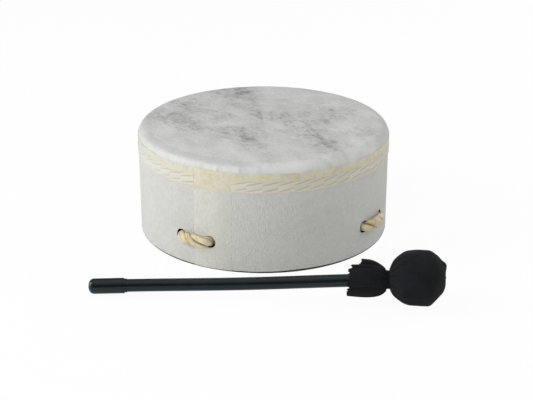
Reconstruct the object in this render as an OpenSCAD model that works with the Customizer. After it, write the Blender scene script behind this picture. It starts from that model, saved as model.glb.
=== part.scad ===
// Buffalo drum with its mallet: a shallow fibre shell with one film head, a rope grip
// inside it, and a soft mallet that lies in front.
// Millimetres, +Z up. The set stands on Z = 0, the front faces -Y, and the origin is
// under the middle of the set's outline. Bearings are degrees from the front, seen from
// the drum's axis, and grow towards +X.

/* [Shell] */
// Outside diameter of the fibre shell
shell_od = 203.2; // [170:0.1:260]
// Height of the drum from the floor to the playing surface
drum_h = 88.9; // [80:0.1:130]
// Wall thickness of the shell
shell_wall = 7.9; // [5:0.1:12]
// Rounding of the shell's upper outer edge
edge_round = 7.5; // [3:0.1:9]

/* [Head] */
// Thickness of the head's film
film_t = 0.4; // [0.2:0.05:1]
// Reach of the head's collar below the playing surface
collar_h = 13; // [11:0.1:20]

/* [Side dressing] */
// Thickness of the fabric round the shell
wrap_t = 0.4; // [0.2:0.05:1]
// Bare edge of the shell below the fabric
wrap_lift = 1.2; // [0.5:0.1:5]
// Thickness of the plain tape
tape_t = 0.4; // [0.2:0.05:1]
// Width of the plain tape
tape_w = 6.4; // [4:0.1:12]
// Distance from the playing surface to the tape
tape_drop = 6.9; // [5:0.1:12]
// Thickness of the woven trim
trim_t = 0.8; // [0.4:0.05:2]
// Width of the woven trim
trim_w = 9.5; // [5:0.1:16]
// Thickness of the seam strip
strip_t = 0.5; // [0.2:0.05:1]
// Width of the seam strip
strip_w = 30.7; // [20:0.1:45]
// Bearing of the seam strip's left edge, and of the rope point on it
seam_bearing = -31.2; // [-60:0.1:60]

/* [Rope grip] */
// Diameter of the rope
rope_d = 8; // [5:0.1:10]
// Height of the rope holes above the floor
hole_z = 22.5; // [20:0.1:40]
// Distance between the two holes of a rope point
hole_pitch = 26; // [20:0.1:40]
// Diameter of the lashing cord
cord_d = 3; // [2:0.1:4]
// Turns of the lashing
lash_turns = 4; // [2:1:6]
// Gap between one turn of the lashing and the next
lash_gap = 0.8; // [0.75:0.05:2]

/* [Mallet] */
// Length of the mallet over all
mallet_len = 264; // [200:0.5:330]
// Diameter of the rod
rod_d = 9.5; // [6:0.1:12]
// Wall of the end cap round the rod
cap_wall = 1; // [0.6:0.1:3]
// Length of the end cap
cap_len = 28.5; // [15:0.1:45]
// Thickness of the end cap beyond the rod
cap_end = 4; // [2:0.1:8]
// Diameter of the mallet's head
head_d = 41; // [34:0.1:60]
// How square the far half of the head is: 1 is round
head_square = 0.85; // [0.75:0.01:1]
// Diameter of the firm core in the head
core_d = 26; // [20:0.1:30]
// Depth of the rod's hole past the middle of the core
core_hole = 5; // [0:0.1:8]
// Thickness of the cover's cloth
cover_t = 0.9; // [0.5:0.05:1.5]
// Length of the cover's skirt along its middle
skirt_len = 23; // [12:0.1:40]
// Diameter across the skirt's folds
skirt_d = 27.7; // [22:0.1:40]
// Slant of the skirt's cut, longer below than above
skirt_slant = 10; // [0:0.1:14]
// Height of the skirt's folds
fold_h = 1.4; // [0.2:0.1:2]
// Number of the skirt's folds
folds = 6; // [4:1:9]
// Diameter of the tie's thread
tie_d = 0.9; // [0.6:0.05:1.5]
// Turns of the tie
tie_turns = 2; // [2:1:5]
// Gap between one turn of the tie and the next
tie_gap = 0.5; // [0.45:0.05:1]

/* [Mallet place] */
// Distance in front of the drum's side of the middle of the head
mallet_gap = 50.8; // [35:0.1:90]
// Distance of the middle of the head to the right of the drum's axis
mallet_shift = 112.8; // [60:0.1:150]
// Turn of the mallet on the floor, head end towards the front
mallet_turn = 4.43; // [-10:0.01:10]

/* [Clearances] */
// Glue line between the layers on the shell
glue_t = 0.05; // [0.02:0.01:0.1]
// Gap where strips butt
butt_gap = 0.2; // [0.1:0.05:0.5]
// Room round the rope in its hole
hole_clear = 1.5; // [0.8:0.1:2]
// Gap between the rope and what it lies on
rope_gap = 0.3; // [0.1:0.05:0.5]
// Gap between rope strands that lie together
strand_gap = 0.45; // [0.42:0.01:0.9]
// Clearance of the rod in its cap and in its core
rod_fit = 0.1; // [0.05:0.01:0.3]
// Gap between the soft layers of the mallet's head
soft_gap = 0.3; // [0.2:0.05:0.5]

/* [Hidden] */
$fn = 96;

// Radii and heights of the layers on the shell
edge_land = 0.2;
shell_r = shell_od / 2;
bore_r = shell_r - shell_wall;
round_r = min(edge_round, shell_wall - edge_land);
skin_r = shell_r + glue_t;
band_r = skin_r + max(film_t, wrap_t) + glue_t;
strip_r = band_r + strip_t;
trim_r = band_r + trim_t;
collar_z = drum_h - collar_h;
tape_top = drum_h - tape_drop;
trim_top = tape_top - tape_w - butt_gap;

// Turn that the seam strip takes, and the turn left for the bands that butt it
strip_turn = strip_w / band_r * 180 / PI;
butt_turn = butt_gap / band_r * 180 / PI;
band_bearing = seam_bearing + strip_turn + butt_turn;
band_turn = 360 - strip_turn - 2 * butt_turn;

// Rope: two strands run side by side through the grip, one loop over the other
rope_r = rope_d / 2;
hole_r = rope_r + hole_clear;
hole_turn = asin(hole_pitch / 2 / shell_r);
span_r = strip_r + rope_gap + rope_r;
strand_off = (rope_d + strand_gap) / 2;
rope_points = 4;
rope_sides = 10;
rope_end_gap = 1;
bend_steps = 5;
blend_steps = 7;
// Share of the run from the grip to the bend in which a strand comes level with its hole
level_share = 0.8;

// The bend of the rope at a hole: its middle lies on the hole's rim
bend_mid_r = span_r - hole_r;
bend_turn = hole_turn - atan(hole_r / bend_mid_r);
bend_u = bend_mid_r * cos(bend_turn) - hole_r * sin(bend_turn);
bend_v = bend_mid_r * sin(bend_turn) + hole_r * cos(bend_turn);

// Lashing: a spiral that dips under the lower loop and climbs over the upper one
cord_r = cord_d / 2;
lash_ease = 4;
lash_sides = 6;
lash_steps = 60;
lash_flat = 1.5;
lash_pitch = cord_d + lash_gap;
lash_lift = strand_off + rope_r + rope_gap + cord_r;
lash_r0 = sqrt(2) * (strand_off + rope_r) + rope_gap + cord_r + lash_ease;
grip_half = lash_r0 + lash_turns * lash_pitch + cord_d;

// Mallet along its own axis, from the middle of the head; the cap's end is at -X
rod_r = rod_d / 2;
cap_r = rod_r + cap_wall;
cap_dome = 3;
cap_step = 0.35;
cap_step_len = 2;
head_r = head_d / 2;
core_r = core_d / 2;
pad_r = head_r - cover_t - soft_gap;
cap_tip = head_r - mallet_len;
tie_r = tie_d / 2;
tie_pitch = tie_d + tie_gap;
tie_half = (tie_turns * tie_pitch + tie_d) / 2;
tie_lift = 0.15;
tie_room = 0.4;
tie_sides = 6;
tie_steps = 24;
neck_r = rod_r + soft_gap + cover_t;
neck_start = -sqrt(head_r * head_r - neck_r * neck_r);
neck_mid = neck_start - tie_room - tie_half;
skirt_start = neck_mid - tie_half - tie_room;
skirt_flare = 3.5;
skirt_r = skirt_d / 2 - fold_h;
cover_around = 30;
// The folds are uneven: a second, slower wave is mixed in and shifted
fold_mix = 0.3;
fold_shift = 50;
head_rings = [15, 30, 45, 60, 75, 90, 105, 120, 135, 150, 160];
skirt_rings = [0.06, 0.15, 0.28, 0.45, 0.65, 0.85, 1];

// Where the mallet lies, from the drum's axis; head and cap both touch the floor
mallet_tilt = asin((head_r - cap_r) / (mallet_len - head_r - cap_dome));
head_x = mallet_shift;
head_y = -trim_r - mallet_gap;
cap_x = head_x + cap_tip * cos(mallet_tilt) * cos(mallet_turn);
set_x = [min(cap_x, -trim_r), max(head_x + head_r, trim_r)];
set_y = [head_y - head_r, trim_r];
drum_at = [-(set_x[0] + set_x[1]) / 2, -(set_y[0] + set_y[1]) / 2, 0];

// Small helpers for lists of points
function unit(v) = v / norm(v);
function flipped(list) = [for (i = [len(list) - 1 : -1 : 0]) list[i]];
function half_turned(path) = [for (p = path) [-p[0], -p[1], p[2]]];
function ease(t) = t * t * (3 - 2 * t);

// Direction of the path at point i
function heading(path, i) =
    unit(path[min(i + 1, len(path) - 1)] - path[max(i - 1, 0)]);

// A ring of points round p, square to direction t; ref fixes where the ring starts
function ring(p, t, ref, r, sides) =
    let (n = unit(ref - (ref * t) * t), b = cross(t, n))
    [for (k = [0 : sides - 1]) p + r * (cos(360 * k / sides) * n + sin(360 * k / sides) * b)];

// Triangles between rings, with a fan at each end
function band_faces(rings, sides) = [
    for (i = [0 : rings - 2], k = [0 : sides - 1])
        let (a = i * sides + k, b = i * sides + (k + 1) % sides)
        each [[a, a + sides, b], [b, a + sides, b + sides]]
];
function fan_faces(sides, first, last) = [
    for (k = [1 : sides - 2])
        each [[first, first + k, first + k + 1], [last, last + k + 1, last + k]]
];

// Tube along a path; refs holds one reference direction for each point
module tube(path, refs, r, sides) {
    count = len(path);
    points = [for (i = [0 : count - 1]) each ring(path[i], heading(path, i), refs[i], r, sides)];
    faces = concat(band_faces(count, sides), fan_faces(sides, 0, (count - 1) * sides));
    polyhedron(points, faces);
}

// Places
module at_drum() translate(drum_at) children();
module at_bearing(bearing) rotate([0, 0, bearing - 90]) children();
module at_mallet()
    translate(drum_at + [head_x, head_y, head_r])
        rotate([0, -mallet_tilt, -mallet_turn]) children();

// Wall section with a rounded upper outer corner
module rounded_wall(inner, outer, top, r) {
    translate([inner, 0]) square([outer - inner, top - r]);
    translate([inner, 0]) square([outer - r - inner, top]);
    translate([outer - r, top - r]) intersection() {
        circle(r);
        square(r);
    }
}

// Part of a ring round the drum, from one bearing over a turn
module ring_part(inner, thick, low, high, bearing, turn)
    at_bearing(bearing)
        rotate_extrude(angle = turn)
            translate([inner, low]) square([thick, high - low]);

module rope_holes()
    for (k = [0 : rope_points - 1], side = [-1, 1])
        at_bearing(seam_bearing + 360 / rope_points * k)
            rotate([0, 0, side * hole_turn])
                translate([bore_r - hole_r, 0, hole_z])
                    rotate([0, 90, 0]) cylinder(r = hole_r, h = span_r - bore_r + hole_r);

module shell()
    color("#4a4038") at_drum() difference() {
        rotate_extrude() rounded_wall(bore_r, shell_r, drum_h - film_t - glue_t, round_r);
        rope_holes();
    }

module drumhead()
    color("#c6c6c4") at_drum() rotate_extrude() difference() {
        rounded_wall(0, skin_r + film_t, drum_h, round_r + glue_t + film_t);
        rounded_wall(0, skin_r, drum_h - film_t, round_r + glue_t);
        square([span_r, collar_z]);
    }

module shell_wrap()
    color("#cfcfcb") at_drum() difference() {
        rotate_extrude()
            translate([skin_r, wrap_lift]) square([wrap_t, collar_z - butt_gap - wrap_lift]);
        rope_holes();
    }

module edge_tape()
    color("#c9c1a4") at_drum()
        ring_part(band_r, tape_t, tape_top - tape_w, tape_top, band_bearing, band_turn);

module woven_trim()
    color("#c4c0ae") at_drum()
        ring_part(band_r, trim_t, trim_top - trim_w, trim_top, band_bearing, band_turn);

module seam_strip()
    color("#d2cfc0") at_drum() difference() {
        ring_part(band_r, strip_t, wrap_lift, tape_top, seam_bearing, strip_turn);
        rope_holes();
    }

// Rope strand from the grip out to the bend at a hole; side is the strand's side and
// level the height of the strand in the grip
function strand_side(t) =
    let (run = bend_u - grip_half, rise = run * tan(bend_turn))
    strand_off + (bend_v - strand_off) * ease(t) + rise * t * t * (t - 1);
function strand(side, level) = [
    [grip_half / 2, side * strand_off, level],
    for (i = [0 : blend_steps])
        let (t = i / blend_steps)
        [
            grip_half + (bend_u - grip_half) * t,
            side * strand_side(t),
            level + (hole_z - level) * ease(min(1, t / level_share))
        ],
    for (i = [1 : bend_steps])
        let (a = 90 * i / bend_steps, x = bend_mid_r + hole_r * sin(a), y = hole_r * cos(a))
        [x * cos(bend_turn) - y * sin(bend_turn), side * (x * sin(bend_turn) + y * cos(bend_turn)), hole_z]
];
function rope_half(level) = concat(strand(-1, level), [[span_r, 0, hole_z]], flipped(strand(1, level)));
function rope_path(level) = concat(
    [[rope_end_gap / 2, -strand_off, level]],
    rope_half(level),
    half_turned(rope_half(level)),
    [[-rope_end_gap / 2, -strand_off, level]]
);

module rope_loop(bearing, level) {
    path = rope_path(level);
    at_drum() at_bearing(bearing)
        tube(path, [for (p = path) [0, 0, 1]], rope_r, rope_sides);
}

module rope_loop_lower() color("#d3c6a6") rope_loop(seam_bearing, hole_z - strand_off);
module rope_loop_upper() color("#d3c6a6") rope_loop(seam_bearing + 90, hole_z + strand_off);

// Lashing, seen along the lower loop: wave is -1 under that loop and 1 over the other
function lash_wave(a) =
    let (x = max(-1, min(1, -lash_flat * cos(2 * a)))) x * (3 - x * x) / 2;
function lash_point(a) =
    let (r = lash_r0 + lash_pitch * a / 360)
    [r * cos(a), r * sin(a), hole_z + lash_lift * lash_wave(a)];
lash_turned = [for (i = [0 : lash_turns * lash_steps]) lash_point(360 * i / lash_steps)];
lash_last = len(lash_turned) - 1;
lash_path = concat(
    [lash_turned[0] - cord_d * unit(lash_turned[1] - lash_turned[0])],
    lash_turned,
    [lash_turned[lash_last] + cord_d * unit(lash_turned[lash_last] - lash_turned[lash_last - 1])]
);

module grip_lashing()
    color("#bfae8a") at_drum() at_bearing(seam_bearing)
        tube(lash_path, [for (p = lash_path) unit([p[0], p[1], 0])], cord_r, lash_sides);

// Mallet pieces turned on the mallet's own axis; the profile is drawn as radius, length
module turned_on_axis(from) translate([from, 0, 0]) rotate([0, 90, 0]) rotate_extrude() children();

module mallet_rod()
    color("#212226") at_mallet()
        turned_on_axis(cap_tip + cap_end)
            square([rod_r, core_hole - cap_tip - cap_end]);

module mallet_end_cap()
    color("#272c2f") at_mallet() turned_on_axis(cap_tip) difference() {
        union() {
            translate([0, cap_dome]) square([cap_r, cap_len - cap_step_len - cap_dome]);
            square([cap_r - cap_dome, cap_len]);
            translate([cap_r - cap_dome, cap_dome]) intersection() {
                circle(cap_dome);
                translate([0, -cap_dome]) square(cap_dome);
            }
            square([cap_r - cap_step - cap_dome, cap_len]);
            translate([0, cap_dome]) square([cap_r - cap_step, cap_len - cap_dome]);
        }
        translate([0, cap_end - rod_fit]) square([rod_r + rod_fit, cap_len]);
    }

// Half disc to turn into a ball, and the rod's hole into it from the cap's side
module half_disc(r)
    intersection() {
        circle(r);
        translate([0, -r]) square([r, 2 * r]);
    }

module rod_hole(depth) translate([0, -head_d]) square([rod_r + rod_fit, head_d + depth]);

module mallet_core()
    color("#3a3a3c") at_mallet() turned_on_axis(0) difference() {
        half_disc(core_r);
        rod_hole(core_hole + rod_fit);
    }

module mallet_padding()
    color("#8d8a84") at_mallet() turned_on_axis(0) difference() {
        half_disc(pad_r);
        half_disc(core_r + soft_gap);
        rod_hole(0);
    }

// Outline of a head of radius 1, as length and radius
function head_point(a) =
    a < 90 ? [pow(cos(a), head_square), pow(sin(a), head_square)] : [cos(a), sin(a)];

// Cover: a cloth over the head, drawn in at the neck and flaring into the skirt.
// Each profile point is length, radius, share of the folds and share of the slant.
cover_profile = concat(
    [for (a = head_rings) concat(head_r * head_point(a), [0, 0])],
    [[neck_start, neck_r, 0, 0], [skirt_start, neck_r, 0, 0]],
    [for (t = skirt_rings)
        let (d = t * skirt_len)
        [skirt_start - d, neck_r + (skirt_r - neck_r) * (1 - exp(-d / skirt_flare)), ease(t), t]]
);
cover_count = len(cover_profile);

// Inward direction of the cloth at a profile point, as length and radius
function cover_inward(i) =
    let (
        p = cover_profile[max(i - 1, 0)],
        q = cover_profile[min(i + 1, cover_count - 1)],
        t = unit([q[0] - p[0], q[1] - p[1]])
    )
    [-t[1], t[0]];
function fold(a) = (1 - fold_mix) * cos(folds * a) + fold_mix * cos((folds - 2) * a + fold_shift);
function cover_point(i, k, depth) =
    let (
        p = cover_profile[i],
        n = cover_inward(i),
        a = 360 * (k + 0.5) / cover_around,
        x = p[0] + depth * n[0] + p[3] * skirt_slant / 2 * sin(a),
        r = p[1] + depth * n[1] + p[2] * fold_h * fold(a)
    )
    [x, r * cos(a), r * sin(a)];

module mallet_cover() {
    outer = [for (i = [0 : cover_count - 1], k = [0 : cover_around - 1]) cover_point(i, k, 0)];
    inner = [
        for (i = [cover_count - 1 : -1 : 0], k = [0 : cover_around - 1]) cover_point(i, k, cover_t)
    ];
    rings = 2 * cover_count;
    outer_pole = rings * cover_around;
    poles = [[head_r, 0, 0], [head_r - cover_t, 0, 0]];
    last = (rings - 1) * cover_around;
    caps = [
        for (k = [0 : cover_around - 1])
            let (next = (k + 1) % cover_around)
            each [[outer_pole, k, next], [outer_pole + 1, last + next, last + k]]
    ];
    color("#212225") at_mallet()
        polyhedron(concat(outer, inner, poles), concat(band_faces(rings, cover_around), caps));
}

// Tie: thread wound round the neck
tie_wind_r = neck_r + tie_lift + tie_r;
tie_turned = [
    for (i = [0 : tie_turns * tie_steps])
        let (a = 360 * i / tie_steps)
        [neck_mid + tie_pitch * (i / tie_steps - tie_turns / 2), tie_wind_r * cos(a), tie_wind_r * sin(a)]
];
tie_last = len(tie_turned) - 1;
tie_path = concat(
    [tie_turned[0] - tie_d * unit(tie_turned[1] - tie_turned[0])],
    tie_turned,
    [tie_turned[tie_last] + tie_d * unit(tie_turned[tie_last] - tie_turned[tie_last - 1])]
);

module mallet_tie()
    color("#1b1c1e") at_mallet()
        tube(tie_path, [for (p = tie_path) unit([0, p[1], p[2]])], tie_r, tie_sides);

// Least gaps, measured on the middle lines
function self_gap(path, d, apart) = min([
    for (i = [0 : len(path) - 1 - apart], j = [i + apart : len(path) - 1]) norm(path[i] - path[j])
]) - d;
function rope_to_lash(level, across) = min([
    for (p = lash_path, side = [-1, 1]) norm([p[across] - side * strand_off, p[2] - level])
]) - rope_r - cord_r;
echo("grip_lashing least gap to itself", self_gap(lash_path, cord_d, lash_steps / 2));
echo("grip_lashing least gap to the lower loop", rope_to_lash(hole_z - strand_off, 1));
echo("grip_lashing least gap to the upper loop", rope_to_lash(hole_z + strand_off, 0));
echo("mallet_tie least gap to itself", self_gap(tie_path, tie_d, tie_steps / 2));

shell();
drumhead();
shell_wrap();
edge_tape();
woven_trim();
seam_strip();
rope_loop_lower();
rope_loop_upper();
grip_lashing();
mallet_rod();
mallet_end_cap();
mallet_core();
mallet_padding();
mallet_cover();
mallet_tie();
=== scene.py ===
"""Buffalo drum with its mallet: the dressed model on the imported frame.

Metres, +Z up. The drum stands on Z = 0 and its front faces -Y. A bearing is in degrees from
the front, seen from the drum's axis, and grows towards +X.
"""

import logging
import math
from collections.abc import Mapping, Sequence
from dataclasses import dataclass, field
from enum import Enum
from functools import lru_cache
from typing import NamedTuple

import bmesh
import bpy
import numpy as np
from mathutils import Matrix, Vector


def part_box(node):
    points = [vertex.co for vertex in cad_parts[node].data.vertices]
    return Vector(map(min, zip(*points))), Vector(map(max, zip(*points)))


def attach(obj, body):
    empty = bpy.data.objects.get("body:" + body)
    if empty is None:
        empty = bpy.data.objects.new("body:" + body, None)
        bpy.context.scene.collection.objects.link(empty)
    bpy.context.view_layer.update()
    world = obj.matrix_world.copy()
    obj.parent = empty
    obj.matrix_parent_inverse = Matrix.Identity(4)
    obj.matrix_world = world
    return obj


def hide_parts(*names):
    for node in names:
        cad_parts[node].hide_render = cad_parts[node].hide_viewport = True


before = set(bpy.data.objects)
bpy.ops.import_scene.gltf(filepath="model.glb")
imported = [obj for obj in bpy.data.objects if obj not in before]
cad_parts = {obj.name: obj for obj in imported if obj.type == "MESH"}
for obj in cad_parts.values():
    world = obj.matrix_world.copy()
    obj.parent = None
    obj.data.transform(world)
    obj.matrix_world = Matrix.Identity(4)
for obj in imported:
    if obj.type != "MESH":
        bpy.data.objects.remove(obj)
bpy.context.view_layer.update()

LOG = logging.getLogger("buffalo_drum")
MM = 0.001
LAY = "lay"
TONE = "tone"
WHITE = (1.0, 1.0, 1.0, 1.0)
SOCKET_KINDS = {float: "Float", int: "Int", bool: "Bool", tuple: "Vector"}
Array = np.ndarray
Color = tuple[float, float, float, float]
Piece = bpy.types.Object
Rows = tuple[tuple[float, ...], ...]
Socket = bpy.types.NodeSocket
Span = tuple[float, float]
Tree = bpy.types.NodeTree


class Body(Enum):
    """The bodies that pieces ride on."""

    DRUM = "drum"
    MALLET = "mallet"


class Slot(Enum):
    """The record's material slots."""

    SHELL = "shell_fibre"
    FILM = "head_film"
    WRAP = "wrap_fabric"
    TAPE = "tan_tape"
    TRIM = "trim_weave"
    STRIP = "strip_fabric"
    ROPE = "rope_fibre"
    LASHING = "lashing_cord"
    ROD = "rod_black"
    CAP = "cap_rubber"
    CORE = "core_rubber"
    FELT = "padding_felt"
    CLOTH = "cover_cloth"
    THREAD = "tie_thread"


def tint(*seen: float) -> Color:
    """Turns a colour as seen on a screen into a socket's linear one.

    Args:
        seen: Red, green and blue, 0 to 255.

    Returns:
        The linear colour.
    """
    shares = (value / 255.0 for value in seen)
    linear = (s / 12.92 if s <= 0.04045 else ((s + 0.055) / 1.055) ** 2.4 for s in shares)
    return (*linear, 1.0)


def ease(t: Array | float, first: float = 0.0, reach: float = 1.0) -> Array | float:
    """Smooth step of t from a first value over a reach, held at 0 and 1 outside."""
    held = np.clip((t - first) / reach, 0.0, 1.0)
    return held * held * (3.0 - 2.0 * held)


def bell(off: Array, width: float) -> Array:
    """Bell curve: 1 in its middle, falling away over a width."""
    return np.exp(-((off / width) ** 2))


def off_bearing(bearings: Array, bearing: float) -> Array:
    """How far bearings lie from one of them, -180 to 180 degrees."""
    return (bearings - bearing + 180.0) % 360.0 - 180.0


def stacked(*columns: Array | float) -> Array:
    """Points from columns of numbers, which are spread to one shape first."""
    return np.stack(np.broadcast_arrays(*columns), -1)


def arc(x: float, y: float, radius: float, first: float, last: float, count: int) -> Array:
    """Points of an arc round x and y, from the first angle to the last one, in degrees."""
    turn = np.radians(np.linspace(first, last, count))
    return stacked(x + radius * np.cos(turn), y + radius * np.sin(turn))


def spun(points: Array, turn: float) -> Array:
    """Points turned round Z by an angle in radians."""
    c, s = math.cos(turn), math.sin(turn)
    return points @ np.array(((c, s, 0.0), (-s, c, 0.0), (0.0, 0.0, 1.0)))


def drum_axis() -> Vector:
    """Point on the floor under the drum's axis."""
    low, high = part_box("shell")
    return Vector(((low.x + high.x) / 2, (low.y + high.y) / 2, 0.0))


AXIS = drum_axis()


class Term:
    """A value in a node tree, with the arithmetic of Math nodes."""

    def __init__(self, graph: "Graph", socket: Socket) -> None:
        """Takes the graph and the socket that gives the value."""
        self.graph, self.socket = graph, socket

    def __add__(self, other: "Value") -> "Term":
        """Sum."""
        return self.graph.math("ADD", self, other)

    def __sub__(self, other: "Value") -> "Term":
        """Difference."""
        return self.graph.math("SUBTRACT", self, other)

    def __rsub__(self, other: "Value") -> "Term":
        """Difference from a number."""
        return self.graph.math("SUBTRACT", other, self)

    def __mul__(self, other: "Value") -> "Term":
        """Product."""
        return self.graph.math("MULTIPLY", self, other)

    def __truediv__(self, other: "Value") -> "Term":
        """Quotient."""
        return self.graph.math("DIVIDE", self, other)

    def __rtruediv__(self, other: "Value") -> "Term":
        """A number over the value."""
        return self.graph.math("DIVIDE", other, self)

    def __pow__(self, other: "Value") -> "Term":
        """Power."""
        return self.graph.math("POWER", self, other)

    def __abs__(self) -> "Term":
        """Size without the sign."""
        return self.graph.math("ABSOLUTE", self)


Value = Term | float | int | str | Sequence[float]
Feeds = Mapping[str | int, Value]


class Graph:
    """One node tree under construction, with short calls for the nodes it needs."""

    def __init__(self, tree: Tree) -> None:
        """Takes the tree to add to."""
        self.tree = tree
        self.given: dict[str, Term] = {}

    @classmethod
    def fresh(cls, owner: bpy.types.Material | bpy.types.World) -> "Graph":
        """Starts the graph of a material or a world.

        Args:
            owner: The material or the world, whose nodes are cleared.

        Returns:
            The graph.
        """
        owner.use_nodes = True
        owner.node_tree.nodes.clear()
        return cls(owner.node_tree)

    @classmethod
    def group(cls, name: str, kind: str, inputs: Mapping[str, object]) -> "Graph":
        """Starts a node group.

        Args:
            name: The group's name.
            kind: "Shader" or "Geometry".
            inputs: First value of each named input, or its kind of socket where it has none.

        Returns:
            The graph, with the group's inputs in given.
        """
        graph = cls(bpy.data.node_groups.new(name, f"{kind}NodeTree"))
        for label, value in inputs.items():
            bare = isinstance(value, str)
            socket = f"NodeSocket{value if bare else SOCKET_KINDS[type(value)]}"
            made = graph.tree.interface.new_socket(label, in_out="INPUT", socket_type=socket)
            if not bare:
                made.default_value = value
        source = graph.node("NodeGroupInput")
        graph.given = {label: Term(graph, source.outputs[label]) for label in inputs}
        return graph

    def close(self, results: Mapping[str, Term]) -> Tree:
        """Ends a node group.

        Args:
            results: What feeds each named output.

        Returns:
            The group's tree.
        """
        for label in results:
            socket = "NodeSocketGeometry" if label == "Geometry" else "NodeSocketFloat"
            self.tree.interface.new_socket(label, in_out="OUTPUT", socket_type=socket)
        self.node("NodeGroupOutput", results)
        return self.tree

    def feed(self, socket: Socket, value: Value) -> None:
        """Joins a socket to a term, or sets its value.

        Args:
            socket: The socket.
            value: The term or the value.
        """
        if isinstance(value, Term):
            self.tree.links.new(value.socket, socket)
        else:
            socket.default_value = value

    def node(self, kind: str, inputs: Feeds | None = None, **settings: object) -> bpy.types.Node:
        """Adds a node.

        Args:
            kind: The node's type.
            inputs: What feeds its sockets, by name or by place.
            settings: The node's own options.

        Returns:
            The node.
        """
        made = self.tree.nodes.new(kind)
        for name, option in settings.items():
            setattr(made, name, option)
        for key, value in (inputs or {}).items():
            self.feed(made.inputs[key], value)
        return made

    def term(
        self, kind: str, inputs: Feeds | None = None, out: str | int = 0, **settings: object
    ) -> Term:
        """One output of a new node, by name or by place."""
        return Term(self, self.node(kind, inputs, **settings).outputs[out])

    def terms(self, kind: str, inputs: Feeds | None = None, **settings: object) -> list[Term]:
        """All outputs of a new node."""
        return [Term(self, out) for out in self.node(kind, inputs, **settings).outputs]

    def math(self, operation: str, *values: Value, clamp: bool = False) -> Term:
        """Result of a Math node on the values."""
        inputs = dict(enumerate(values))
        return self.term("ShaderNodeMath", inputs, operation=operation, use_clamp=clamp)

    def vector(self, operation: str, *values: Value) -> Term:
        """Result of a Vector Math node on the values."""
        out = "Value" if operation in ("LENGTH", "DISTANCE") else "Vector"
        return self.term("ShaderNodeVectorMath", dict(enumerate(values)), out, operation=operation)

    def scaled(self, vector: Term, factor: Value) -> Term:
        """A vector times one number."""
        return self.term("ShaderNodeVectorMath", {"Vector": vector, "Scale": factor}, operation="SCALE")

    def parts(self, vector: Term) -> list[Term]:
        """The three numbers of a vector."""
        return self.terms("ShaderNodeSeparateXYZ", {0: vector})

    def joined(self, x: Value, y: Value, z: Value = 0.0) -> Term:
        """A vector made of three numbers."""
        return self.term("ShaderNodeCombineXYZ", {0: x, 1: y, 2: z})

    def noise(
        self, vector: Term, scale: Value, detail: Value = 2.0, rough: float = 0.5, bend: float = 0.0,
        out: str = "Fac",
    ) -> Term:
        """Value or colour of a Noise Texture, about 0.5 in the mean."""
        inputs = {"Vector": vector, "Scale": scale, "Detail": detail, "Roughness": rough, "Distortion": bend}
        return self.term("ShaderNodeTexNoise", inputs, out)

    def spread(
        self, value: Term, low: Value, high: Value, to_low: Value = 0.0, to_high: Value = 1.0
    ) -> Term:
        """Maps low..high to to_low..to_high, held at the ends."""
        return self.term("ShaderNodeMapRange", {0: value, 1: low, 2: high, 3: to_low, 4: to_high})

    def between(self, value: Term, first: float, last: float) -> Term:
        """Goes from the first number to the last one as the value goes from 0 to 1."""
        return self.spread(value, 0.0, 1.0, first, last)

    def mixed(self, first: Term, second: Term, share: float) -> Term:
        """Two values in one, in which the first has a share."""
        return first * share + second * (1.0 - share)

    def blend(self, factor: Value, first: Value, second: Value) -> Term:
        """Mixes two colours."""
        return self.term("ShaderNodeMix", {0: factor, 6: first, 7: second}, 2, data_type="RGBA")

    def bump(self, height: Term, depth: float) -> Term:
        """Normal that a height of 0 to 1 gives when it stands for depth in metres."""
        return self.term("ShaderNodeBump", {"Height": height, "Distance": depth})

    def fibres(self, vector: Term, along: float, across: float) -> Term:
        """Fibres of a length and a width that run along X of the vector."""
        inputs = {"Vector": vector, "Along": along, "Across": across}
        return self.term("ShaderNodeGroup", inputs, node_tree=fibre_streaks())

    def drift(self, vector: Term, size: float, detail: float) -> Term:
        """Drift of tone, 0 to 1, in patches of a size."""
        inputs = {"Vector": vector, "Size": size, "Detail": detail}
        return self.term("ShaderNodeGroup", inputs, node_tree=tone_drift())

    def weave(self, u: Term, v: Term, pitch: float) -> list[Term]:
        """Height and gaps of a plain weave."""
        return self.terms("ShaderNodeGroup", {"U": u, "V": v, "Pitch": pitch}, node_tree=woven_threads())

    def here(self) -> Term:
        """Object coordinates."""
        return self.term("ShaderNodeTexCoord", out="Object")

    def from_axis(self) -> list[Term]:
        """Object coordinates from the drum's axis on the floor, as three numbers."""
        return self.parts(self.vector("SUBTRACT", self.here(), tuple(AXIS)))

    def radius(self) -> Term:
        """Distance from the drum's axis."""
        x, y, _ = self.from_axis()
        return self.vector("LENGTH", self.joined(x, y))

    def around(self, radius: float) -> tuple[Term, Term]:
        """Place on the drum's side: length round it from the front, and height."""
        x, y, z = self.from_axis()
        return self.math("ARCTAN2", x, y * -1.0) * radius, z

    def lay(self) -> list[Term]:
        """A piece's stored directions out and sideways, and length along."""
        return self.parts(self.term("ShaderNodeAttribute", out="Vector", attribute_name=LAY))

    def tone(self) -> Term:
        """A strand's stored tone, 0 to 1."""
        return self.term("ShaderNodeAttribute", out="Fac", attribute_name=TONE)

    def geo(self, kind: str, inputs: Feeds | None = None, **settings: object) -> Term:
        """First output of a geometry node, which is named without its prefix."""
        return self.term(f"GeometryNode{kind}", inputs, **settings)

    def moved(self, geometry: Term, **inputs: Term) -> Term:
        """Geometry with a new Position, or with an Offset."""
        return self.geo("SetPosition", {"Geometry": geometry, **inputs})

    def dressed(self, geometry: Term, material: Term) -> Term:
        """Geometry with a material."""
        return self.geo("SetMaterial", {"Geometry": geometry, "Material": material})

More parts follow.
